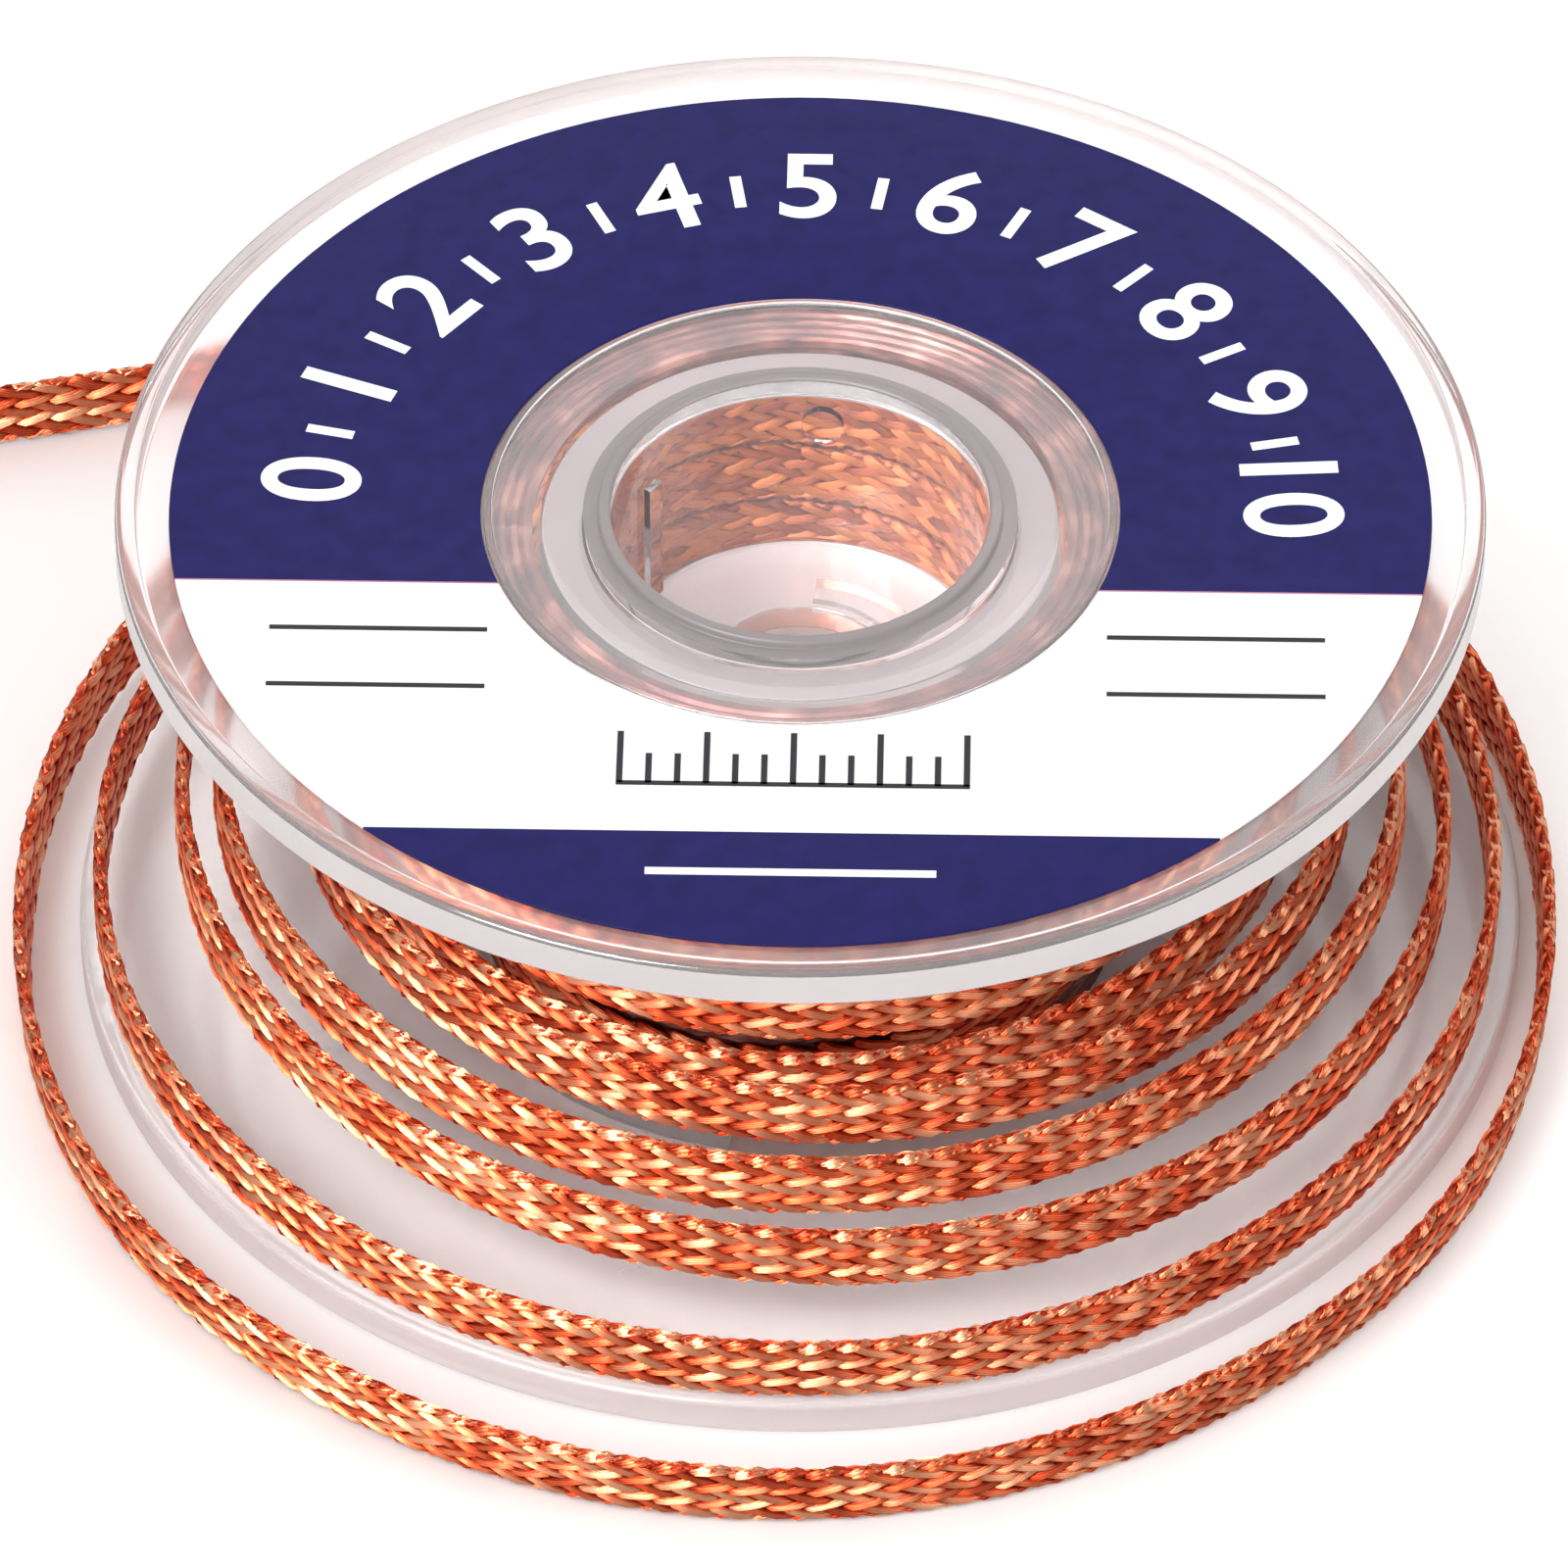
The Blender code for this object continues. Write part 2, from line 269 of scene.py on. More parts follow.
def new_group(name, kind, inputs, outputs):
    """A node group with named sockets: each is a name, a socket type and a default or None."""
    tree = bpy.data.node_groups.new(name, kind)
    for direction, sockets in (("INPUT", inputs), ("OUTPUT", outputs)):
        for socket_name, socket_type, default in sockets:
            socket = tree.interface.new_socket(socket_name, in_out=direction, socket_type=socket_type)
            if default is not None:
                socket.default_value = default
    return tree, tree.nodes.new("NodeGroupInput"), tree.nodes.new("NodeGroupOutput")


def add_group(tree, group, **values):
    """Places a shader group in a tree and fills its named sockets."""
    node = tree.nodes.new("ShaderNodeGroup")
    node.node_tree = group
    for name, value in values.items():
        connect(tree, value, node.inputs[name])
    return node


# %% [markdown]
# ## The studio and the floor
# The world is a white tent, brightest near the horizon, because that is the light which gets in between the
# flanges. Copper needs something dark to reflect as well, or it looks like painted plastic. So mirror-like
# reflections see another studio in place of the tent: a broad soft window on the left, a weaker one high at
# the back, and grey cards all round.
# The floor is a big plane in a nearly white satin finish like a photographer's sweep, with a faint cloudy
# roughness that keeps it from looking like empty space. Reflections pass it by too. It is marked as stage,
# because it isn't part of the object.

# %% White tent and window
WINDOW = Vector((-0.75, -0.56, 0.35)).normalized()
BACK_WINDOW = Vector((0.0, 0.70, 0.71)).normalized()
BACK_WINDOW_SHARE = 0.7

world = bpy.data.worlds.new("white_tent")
bpy.context.scene.world = world
world.use_nodes = True
tree = world.node_tree
direction = add_node(tree, "ShaderNodeTexCoord").outputs["Generated"]
height = add_node(tree, "ShaderNodeSeparateXYZ", direction).outputs["Z"]
upwards = add_node(tree, "ShaderNodeMapRange", height, -1.0, 1.0, 0.0, 1.0)
tent = ramp(tree, upwards, (0.0, (0.5, 0.5, 0.5)), (0.49, (0.6, 0.6, 0.6)), (0.52, (1.70, 1.64, 1.60)),
            (0.66, (1.05, 1.04, 1.03)), (1.0, (0.74, 0.74, 0.74)))
to_window = vector_calc(tree, "DOT_PRODUCT", direction, WINDOW).outputs["Value"]
window = ramp(tree, to_window, (0.30, (0.0, 0.0, 0.0)), (0.95, (1.0, 0.99, 0.97)))
to_back = vector_calc(tree, "DOT_PRODUCT", direction, BACK_WINDOW).outputs["Value"]
back_window = ramp(tree, to_back, (0.5, (0.0, 0.0, 0.0)), (0.95, (1.0, 1.0, 1.0)))
cards = ramp(tree, upwards, (0.0, (0.50, 0.50, 0.50)), (0.49, (0.45, 0.45, 0.45)),
             (0.53, (0.36, 0.36, 0.36)), (1.0, (0.44, 0.44, 0.44)))
windows = vector_calc(tree, "ADD", window, scaled(tree, back_window, BACK_WINDOW_SHARE))
studio = vector_calc(tree, "ADD", cards, windows)
ray = add_node(tree, "ShaderNodeLightPath").outputs
mirrored = calc(tree, "MULTIPLY", ray["Is Glossy Ray"], ray["Is Reflection Ray"])
seen = mixed_color(tree, mirrored, tent, studio)
connect(tree, seen, tree.nodes["Background"].inputs["Color"])
print("nodes in the world:", len(tree.nodes))

# %% Floor
FLOOR_SIZE = 3.0

floor_mesh = bpy.data.meshes.new("floor")
half = FLOOR_SIZE / 2
corners = [(-half, -half, 0), (half, -half, 0), (half, half, 0), (-half, half, 0)]
floor_mesh.from_pydata(corners, [], [(0, 1, 2, 3)])
floor = new_object("floor", floor_mesh)
floor_material, tree, shader = new_material("white_sweep")
where = add_node(tree, "ShaderNodeTexCoord")
clouds = add_node(tree, "ShaderNodeTexNoise", where.outputs["Object"])
clouds.inputs["Scale"].default_value = 9.0
pale = ramp(tree, clouds, (0.3, (0.86, 0.86, 0.86)), (0.7, (0.9, 0.9, 0.9)))
connect(tree, pale, shader.inputs["Base Color"])
connect(tree, add_node(tree, "ShaderNodeMapRange", clouds, 0.3, 0.7, 0.5, 0.6), shader.inputs["Roughness"])
floor_mesh.materials.append(floor_material)
floor.visible_glossy = False
floor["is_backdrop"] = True

# %% [markdown]
# ## Effects that several finishes share
# Two looks come back in more than one material, so each is a shader group with its own inputs.
# *Soft unevenness* is a slow cloud that lets a gloss or a colour drift a little over a surface.
# *Fine wires* draws parallel grooves along a yarn, because each yarn of a braid is a handful of wires side
# by side. It reads the piece's own UV map, whose second axis runs across the yarn.

# %% Shared shader groups
soft_unevenness, group_in, group_out = new_group(
    "soft unevenness", "ShaderNodeTree",
    [("Scale", "NodeSocketFloat", 200.0), ("Low", "NodeSocketFloat", 0.0), ("High", "NodeSocketFloat", 1.0)],
    [("Value", "NodeSocketFloat", None)])
place = add_node(soft_unevenness, "ShaderNodeTexCoord")
cloud = add_node(soft_unevenness, "ShaderNodeTexNoise", place.outputs["Object"])
connect(soft_unevenness, group_in.outputs["Scale"], cloud.inputs["Scale"])
spread = add_node(soft_unevenness, "ShaderNodeMapRange", cloud, 0.3, 0.7,
                  group_in.outputs["Low"], group_in.outputs["High"])
connect(soft_unevenness, spread, group_out.inputs["Value"])


def uneven(tree, scale, low=0.0, high=1.0):
    """Soft unevenness in a tree: a cloud of this scale between two values."""
    return add_group(tree, soft_unevenness, Scale=scale, Low=low, High=high)


fine_wires, group_in, group_out = new_group(
    "fine wires", "ShaderNodeTree",
    [("Wires", "NodeSocketFloat", 5.0), ("Wander", "NodeSocketFloat", 0.4)],
    [("Height", "NodeSocketFloat", None)])
uv = add_node(fine_wires, "ShaderNodeUVMap", uv_map="yarn")
along_across = add_node(fine_wires, "ShaderNodeSeparateXYZ", uv)
sway = add_node(fine_wires, "ShaderNodeTexNoise", uv)
sway.inputs["Scale"].default_value = 1.6
swayed = calc(fine_wires, "MULTIPLY_ADD", sway, group_in.outputs["Wander"], along_across.outputs["Y"])
turns = calc(fine_wires, "MULTIPLY", swayed, group_in.outputs["Wires"])
wave = calc(fine_wires, "ABSOLUTE", calc(fine_wires, "SINE", calc(fine_wires, "MULTIPLY", turns, math.pi)))
connect(fine_wires, calc(fine_wires, "POWER", wave, 0.6), group_out.inputs["Height"])
print("shared groups:", [group.name for group in (soft_unevenness, fine_wires)])

# %% [markdown]
# ## The finish of the copper
# Bare copper is a metal, so its colour is the colour of its reflections, and the strands differ because
# they face different ways. Each stretch of yarn also carries a random tone, made later with the weave, that
# moves it a little towards a darker red or a brighter gold. Light that gets down between two yarns meets
# copper several times before it comes out, and each time it grows redder. That shade is painted into the
# colour, which falls towards a deep red at a yarn's sides and at its ends, where it dives under its
# neighbours.
# The fine wires go into the bump. A bundle of wires spreads each highlight across itself and keeps it
# narrow lengthwise, so the shader is strongly anisotropic: that is why one family of strands shines while
# the other, slanted the other way, stays dark. The braid is soaked in flux, a clear varnish, and a thin coat
# stands for it. The layer that is seen through the barrel is pressed flat and lies in the spool's shade, so
# its copy of the copper has darker colours, which are painted shade, is less metallic, and has weaker gap
# shade.


# %% Copper yarn material
TIP_SHADE = (0.40, 0.95)
SIDE_SHADE = (0.45, 0.95)
WIRE_SHARE = 0.5
GAP_SHADE_SHARE = 0.5


def copper_material(name, dark, mid, light, metal, gap_shade):
    """Bare copper wire: its tone attribute and the painted shade where a spot lies deep pick the colour."""
    material, tree, shader = new_material(name)
    tone = add_node(tree, "ShaderNodeAttribute", attribute_name="tone")
    drift = uneven(tree, 900.0, -0.15, 0.15)
    wires = add_group(tree, fine_wires, Wires=5.0, Wander=0.35)
    spot = add_node(tree, "ShaderNodeSeparateXYZ", add_node(tree, "ShaderNodeUVMap", uv_map="yarn"))
    from_middle = calc(tree, "ABSOLUTE", spot.outputs["X"])
    from_ridge = calc(tree, "ABSOLUTE", calc(tree, "MULTIPLY_ADD", spot.outputs["Y"], 2.0, -1.0))
    # Painted shade: the colour falls towards a deep red where a spot lies deep, at a yarn's tips and sides.
    depth = calc(tree, "MAXIMUM", add_node(tree, "ShaderNodeMapRange", from_middle, *TIP_SHADE, 0.0, 1.0),
                 add_node(tree, "ShaderNodeMapRange", from_ridge, *SIDE_SHADE, 0.0, 1.0))
    mixed = calc(tree, "ADD", tone.outputs["Fac"], calc(tree, "MULTIPLY_ADD", wires, WIRE_SHARE, drift))
    mixed = calc(tree, "MULTIPLY_ADD", depth, -gap_shade, mixed)
    gap_shade_color = tuple(GAP_SHADE_SHARE * part for part in dark)
    color = ramp(tree, mixed, (0.0, gap_shade_color), (0.3, dark), (0.75, mid), (1.0, light))
    connect(tree, color, shader.inputs["Base Color"])
    rough = uneven(tree, 1500.0, 0.43, 0.54)
    connect(tree, rough, shader.inputs["Roughness"])
    shader.inputs["Metallic"].default_value = metal
    shader.inputs["Anisotropic"].default_value = 1.0
    shader.inputs["Anisotropic Rotation"].default_value = 0.25
    along = add_node(tree, "ShaderNodeTangent", direction_type="UV_MAP", uv_map="yarn")
    connect(tree, along, shader.inputs["Tangent"])
    bumped(tree, shader, wires, strength=0.8, distance=0.03 * MM)
    shader.inputs["Coat Weight"].default_value = 0.2
    shader.inputs["Coat Roughness"].default_value = 0.3
    return material


yarn_copper = copper_material("bright_copper_yarn", (0.66, 0.050, 0.010), (0.93, 0.23, 0.085),
                              (0.99, 0.48, 0.27), metal=1.0, gap_shade=0.7)
# A copy with painted shade: darker colours for the layer that lies in the spool's shade, behind the barrel.
copper_in_painted_shade = copper_material("copper_behind_plastic", (0.28, 0.045, 0.010), (0.48, 0.105, 0.022),
                                 (0.70, 0.22, 0.05), metal=0.4, gap_shade=0.25)
print("woven copper:", [material.name for material in (yarn_copper, copper_in_painted_shade)])

# %% [markdown]
# Behind the yarns the braid is in its own shade. A strip of copper stands for its inside, and its dull dark
# colour is painted shade, so that the chinks between the yarns look deep and not see-through.

# %% Shaded copper material
shaded_copper, tree, shader = new_material("shaded_copper")
tone = uneven(tree, 1200.0)
# Painted shade: the strip's dull dark red stands for the shade inside the braid.
shade = ramp(tree, tone, (0.0, (0.30, 0.02, 0.004)), (1.0, (0.50, 0.05, 0.012)))
connect(tree, shade, shader.inputs["Base Color"])
connect(tree, uneven(tree, 700.0, 0.55, 0.75), shader.inputs["Roughness"])
shader.inputs["Metallic"].default_value = 0.6

# %% [markdown]
# ## Where the loose braid runs
# The route repeats the points of the CAD source: for every eighth of a turn the distance of the braid's
# outer face from the axis, and the height of its lower edge. Reading them from the photograph at even steps
# round the spool is easier than guessing a spiral, because a sprung turn is never quite round. A smooth
# curve through them gives the middle line of the braid.

# %% Points of the route
LEAVING_PACK = [(12.3, 14.4), (13.8, 13.4), (15.2, 12.2)]
FIRST_TURN = [(16.2, 11.2), (16.6, 10.7), (16.8, 10.3), (16.7, 10.1),
              (16.6, 9.7), (16.4, 9.2), (16.3, 8.7), (16.3, 8.2)]
SECOND_TURN = [(16.5, 7.8), (16.9, 7.4), (17.3, 7.3), (17.5, 7.3),
               (17.8, 7.3), (17.9, 7.3), (17.9, 7.3), (17.9, 7.3)]
THIRD_TURN = [(18.0, 7.4), (18.2, 7.4), (18.8, 7.2), (19.4, 7.1),
              (19.7, 7.0), (20.0, 7.0), (20.5, 7.0), (20.8, 7.0)]
FOURTH_TURN = [(20.9, 6.9), (20.9, 6.6), (21.3, 6.2), (21.4, 6.1),
               (21.6, 6.1), (21.9, 6.1), (22.1, 6.1), (22.3, 6.0)]
FIFTH_TURN = [(22.3, 5.7), (22.4, 4.8), (22.7, 4.1), (23.0, 3.5),
              (23.3, 3.3), (23.9, 3.0), (24.4, 2.7), (24.8, 2.3)]
SIXTH_TURN = [(25.3, 2.1), (25.6, 1.9), (25.7, 1.6), (25.4, 1.6),
              (25.1, 1.6), (25.7, 1.8), (26.7, 1.9), (27.6, 1.0)]
LAST_TURN = [(28.1, 0.1), (29.6, 0.1), (30.3, 0.1), (28.7, 0.1),
             (27.0, 0.1), (27.7, 0.1), (29.1, 0.1)]
TAIL = [(-8.0, 29.3), (-16.5, 28.7), (-25.2, 26.9), (-30.0, 25.85), (-35.0, 24.9)]
STEPS_PER_EIGHTH = 10


# %% Smooth route
def smooth_run(points, steps):
    """A smooth curve through the points, with this many steps from each point to the next."""
    ends = [2 * points[0] - points[1]] + points + [2 * points[-1] - points[-2]]
    curve = []
    for a, b, c, d in zip(ends, ends[1:], ends[2:], ends[3:]):
        for step in range(steps):
            t = step / steps
            curve.append(b + 0.5 * t * (c - a + t * (2 * a - 5 * b + 4 * c - d + t * (3 * (b - c) + d - a))))
    curve.append(points[-1])
    return curve


def braid_route():
    """The middle line of the loose braid, from the wound braid out to its bare end."""
    eighths = (LEAVING_PACK + FIRST_TURN + SECOND_TURN + THIRD_TURN + FOURTH_TURN + FIFTH_TURN
               + SIXTH_TURN + LAST_TURN)
    eighth = math.tau / 8
    first_angle = math.pi - len(LEAVING_PACK) * eighth
    stations = [Vector((first_angle + index * eighth, radius * MM - BRAID_THICKNESS / 2,
                        height * MM + BRAID_WIDTH / 2))
                for index, (radius, height) in enumerate(eighths)]
    turns = [Vector((radius * math.cos(angle), radius * math.sin(angle), height))
             for angle, radius, height in smooth_run(stations, STEPS_PER_EIGHTH)]
    level = turns[-1].z
    tail = [turns[-1 - STEPS_PER_EIGHTH], turns[-1]] + [Vector((x * MM, y * MM, level)) for x, y in TAIL]
    return turns[:-1] + smooth_run(tail, STEPS_PER_EIGHTH)[STEPS_PER_EIGHTH:]


def run_length(points):
    return sum((b - a).length for a, b in zip(points, points[1:]))


route = braid_route()
LOOSE_LENGTH = run_length(route)
print(f"loose braid: {len(route)} points, {LOOSE_LENGTH:.3f} m")

# %% [markdown]
# A flat braid never stands dead upright. The upper turns lean in a few degrees and the last one leans out,
# as their widths in the photograph show, and all of them sway a little. The list holds one lean for the
# front of each turn. The lean is stored as the tilt of the path curve, where Geometry Nodes can read it.

# %% Lean of the braid along the route
FRONT_LEANS = [3.0, 3.0, 3.0, 3.0, 1.7, 0.0, -4.5, -3.5]
START_TO_FRONT = 5 / 8
SWAY = 1.4
SWAY_LENGTHS = (41 * MM, 17 * MM)
TURNS_WITH_LEAN = len(FRONT_LEANS) - 1.001


def lean_at(turn, distance):
    """The lean in degrees after so many turns: even from one front to the next, plus the sway."""
    turn = min(max(turn - START_TO_FRONT, 0.0), TURNS_WITH_LEAN)
    before, after = FRONT_LEANS[int(turn)], FRONT_LEANS[int(turn) + 1]
    sway = sum(math.sin(math.tau * distance / length) for length in SWAY_LENGTHS) / len(SWAY_LENGTHS)
    return before + (after - before) * (turn % 1) + SWAY * sway


def distances(points):
    """How far along the run each point lies."""
    found = [0.0]
    for a, b in zip(points, points[1:]):
        found.append(found[-1] + (b - a).length)
    return found


route_lean = [math.radians(lean_at(index / (8 * STEPS_PER_EIGHTH), distance))
              for index, distance in enumerate(distances(route))]
print(f"lean from {math.degrees(min(route_lean)):.1f} to {math.degrees(max(route_lean)):.1f} degrees")

# %% [markdown]
# ## The dark strip of painted shade inside the braid
# At each point the ring is set up from three directions: along the braid, sideways out of it, and up, with
# the lean turning the last two.

# %% Strip along a route
SKIN = 0.09 * MM
END_STEPS = 4


def stadium(width, thickness, end_steps):
    """Points round a flat section with round ends, as sideways and upward distances."""
    radius = thickness / 2
    middle = width / 2 - radius
    points = []
    for side, start in ((1, 0.0), (-1, math.pi)):
        for step in range(end_steps + 1):
            angle = start + math.pi * step / end_steps
            points.append((radius * math.cos(angle), side * middle + radius * math.sin(angle)))
    return points


def ring_directions(points, index, lean):
    """The sideways and upward directions of the braid at one point of its run."""
    ahead = points[min(index + 1, len(points) - 1)]
    behind = points[max(index - 1, 0)]
    forward = (ahead - behind).normalized()
    sideways = forward.cross(Vector((0, 0, 1))).normalized()
    upward = sideways.cross(forward)
    return (sideways * math.cos(lean) + upward * math.sin(lean),
            upward * math.cos(lean) - sideways * math.sin(lean))


def mesh_from(bm, name):
    """Turns an edited mesh into a named one and frees the first."""
    mesh = bpy.data.meshes.new(name)
    bm.to_mesh(mesh)
    bm.free()
    return mesh


def shade_round(mesh, degrees=35):
    """Smooth shading, but for edges sharper than the angle."""
    mesh.shade_smooth()
    mesh.set_sharp_from_angle(angle=math.radians(degrees))


def strip_mesh(name, points, leans, section):
    """A closed strip: one ring of the section at each point, with both ends filled."""
    bm = bmesh.new()
    rings = []
    for index, (point, lean) in enumerate(zip(points, leans)):
        sideways, upward = ring_directions(points, index, lean)
        rings.append([bm.verts.new(point + sideways * x + upward * y) for x, y in section])
    for ring, following in zip(rings, rings[1:]):
        for i in range(len(section)):
            bm.faces.new((ring[i - 1], ring[i], following[i], following[i - 1]))
    bm.faces.new(rings[0])
    bm.faces.new(reversed(rings[-1]))
    bmesh.ops.recalc_face_normals(bm, faces=bm.faces)
    mesh = mesh_from(bm, name)
    shade_round(mesh, degrees=50)
    return mesh


def add_piece(name, mesh, *materials):
    """A finished piece: an object at the origin that rides on the spool's one body."""
    piece = new_object(name, mesh)
    for material in materials:
        mesh.materials.append(material)
    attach(piece, "root")
    return piece


inner_section = stadium(BRAID_WIDTH - 2 * SKIN, BRAID_THICKNESS - 2 * SKIN, END_STEPS)
inside_mesh = strip_mesh("loose_braid_inside", route, route_lean, inner_section)
loose_inside = add_piece("loose_braid_inside", inside_mesh, shaded_copper)
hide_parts("loose_braid_upper", "loose_braid_middle", "loose_braid_lower")
print("strip inside the loose braid:", len(loose_inside.data.polygons), "faces")

# %% [markdown]
# ## The weave
# A desoldering braid is a woven tube pressed flat. Half of its yarns run round it one way and half the
# other way, and each yarn passes over two of the others and then under two. What the eye sees is only
# the stretches on top, which weavers call floats: narrow leaves, side by side in rows, that slant one way
# in one row and the other way in the next.
# Making every yarn whole would spend most of its faces where nobody looks. So the weave is a lattice of
# floats, each a small closed leaf whose tips dive under its neighbours. Geometry Nodes lay them out flat,
# as if the braid were slit open and unrolled, and then a single Set Position node rolls that sheet up
# along the route. Wrapping round the narrow edges then comes out right by itself.

# %% One float
CARRIERS = 24
REPEAT = 1.32 * MM
YARN_WIDTH = 0.46 * MM
YARN_THICKNESS = 0.16 * MM
YARN_RISE = 0.065 * MM
YARN_DIP = 2.2
YARN_TAPER = 0.55
FLOAT_HALF_LENGTH = 1.12 * MM
FLOAT_STATIONS = (-0.66, -0.24, 0.24, 0.66)
FLOAT_SECTION = ((-1.0, 0.0), (-0.55, 0.85), (0.55, 0.85), (1.0, 0.0), (0.0, -0.8))


def float_mesh():
    """One yarn's stretch on top of the weave: along x, bowed up in the middle, pointed at both tips."""
    bm = bmesh.new()
    uv_layer = bm.loops.layers.uv.new("yarn")
    rings = []
    for t in FLOAT_STATIONS:
        half_width = YARN_WIDTH / 2 * math.sqrt(1 - YARN_TAPER * t * t)
        middle = YARN_RISE * (1 - YARN_DIP * t * t)
        rings.append([bm.verts.new((t * FLOAT_HALF_LENGTH, y * half_width, middle + z * YARN_THICKNESS / 2))
                      for y, z in FLOAT_SECTION])
    sink = YARN_RISE * (1 - YARN_DIP)
    tips = [bm.verts.new((side * FLOAT_HALF_LENGTH, 0, sink)) for side in (-1, 1)]
    for ring, following in zip(rings, rings[1:]):
        for i in range(len(ring)):
            bm.faces.new((ring[i - 1], ring[i], following[i], following[i - 1]))
    for tip, ring in zip(tips, (rings[0], rings[-1])):
        for i in range(len(ring)):
            bm.faces.new((ring[i - 1], ring[i], tip))
    bmesh.ops.recalc_face_normals(bm, faces=bm.faces)
    for face in bm.faces:
        for loop in face.loops:
            x, y, z = loop.vert.co
            loop[uv_layer].uv = (x / FLOAT_HALF_LENGTH, y / YARN_WIDTH + 0.5)
    mesh = mesh_from(bm, "float")
    mesh.shade_smooth()
    return mesh


yarn_float = new_object("float", float_mesh())
print("one float:", len(yarn_float.data.vertices), "points")

# %% [markdown]
# Each point's number says which of the two families its float belongs to, in which row round the braid it
# lies and how far along. The second family sits half a repeat further along and half a row further round. A
# float's slant follows from the lattice itself: it crosses one column while it moves half a repeat along. It
# is drawn a little flatter, because pressing the tube flat straightens the yarns, and each float turns and
# swells a little by chance, as wire does.


# %% The flat sheet of floats
TURN_JITTER = 0.09
SLANT_SHARE = 0.88
SIZE_SPREAD = 0.14
TONE_RANGE = (0.1, 0.9)
SIZE_SEED = 17.0
TONE_SEED = 31.0


def float_sheet(group, give, column):
    """One float at each place of the lattice, in columns this wide, with its own turn, size and tone."""
    leaf = add_node(group, "GeometryNodeObjectInfo", give["Float"]).outputs["Geometry"]
    half_repeat = calc(group, "MULTIPLY", give["Repeat"], 0.5)

    index = add_node(group, "GeometryNodeInputIndex")
    per_repeat = calc(group, "MULTIPLY", give["Rows"], 2.0)
    family = calc(group, "FLOORED_MODULO", index, 2.0)
    pair = calc(group, "FLOOR", calc(group, "DIVIDE", index, 2.0))
    row = calc(group, "ADD", calc(group, "FLOORED_MODULO", pair, give["Rows"]), give["First row"])
    repeat = calc(group, "FLOOR", calc(group, "DIVIDE", index, per_repeat))
    steps = calc(group, "MULTIPLY_ADD", family, 0.5, calc(group, "ADD", repeat, 0.25))
    along = calc(group, "MULTIPLY_ADD", steps, give["Repeat"], give["Start"])
    across = calc(group, "MULTIPLY_ADD", row, 4.0, calc(group, "MULTIPLY_ADD", family, 2.0, 0.5))
    across = calc(group, "MULTIPLY", across, column)
    repeats = calc(group, "FLOOR", calc(group, "DIVIDE", give["Length"], give["Repeat"]))
    count = calc(group, "MULTIPLY", repeats, per_repeat)
    spots = add_node(group, "ShaderNodeCombineXYZ", along, across, 0.0)
    lattice = add_node(group, "GeometryNodePoints", count, spots)

    slant = calc(group, "ARCTANGENT", calc(group, "DIVIDE", column, half_repeat))
    which_way = calc(group, "MULTIPLY_ADD", family, -2.0, 1.0)
    jitter = add_node(group, "FunctionNodeRandomValue", -TURN_JITTER, TURN_JITTER, index, give["Seed"],
                      data_type="FLOAT")
    turn = calc(group, "MULTIPLY_ADD", calc(group, "MULTIPLY", slant, SLANT_SHARE), which_way, jitter)
    spin = add_node(group, "ShaderNodeCombineXYZ", 0.0, 0.0, turn)
    size_seed = calc(group, "ADD", give["Seed"], SIZE_SEED)
    size = add_node(group, "FunctionNodeRandomValue", 1 - SIZE_SPREAD, 1 + SIZE_SPREAD, index, size_seed,
                    data_type="FLOAT")
    floats = add_node(group, "GeometryNodeInstanceOnPoints", lattice)
    connect(group, leaf, floats.inputs["Instance"])
    connect(group, spin, floats.inputs["Rotation"])
    connect(group, add_node(group, "ShaderNodeCombineXYZ", 1.0, size, size), floats.inputs["Scale"])

    tone_seed = calc(group, "ADD", give["Seed"], TONE_SEED)
    tone = add_node(group, "FunctionNodeRandomValue", *TONE_RANGE, None, tone_seed, data_type="FLOAT")
    toned = add_node(group, "GeometryNodeStoreNamedAttribute", floats, None, "tone", tone,
                     data_type="FLOAT", domain="INSTANCE")
    return add_node(group, "GeometryNodeRealizeInstances", toned)


# %% [markdown]
# To roll the sheet up, each of its points is read as three numbers: how far along the path, how far round
# the section, and how high above the braid's skin. The path gives a place and a heading, and its tilt gives
# the lean. The section gives where on the skin the point lies, and which way is outwards there.


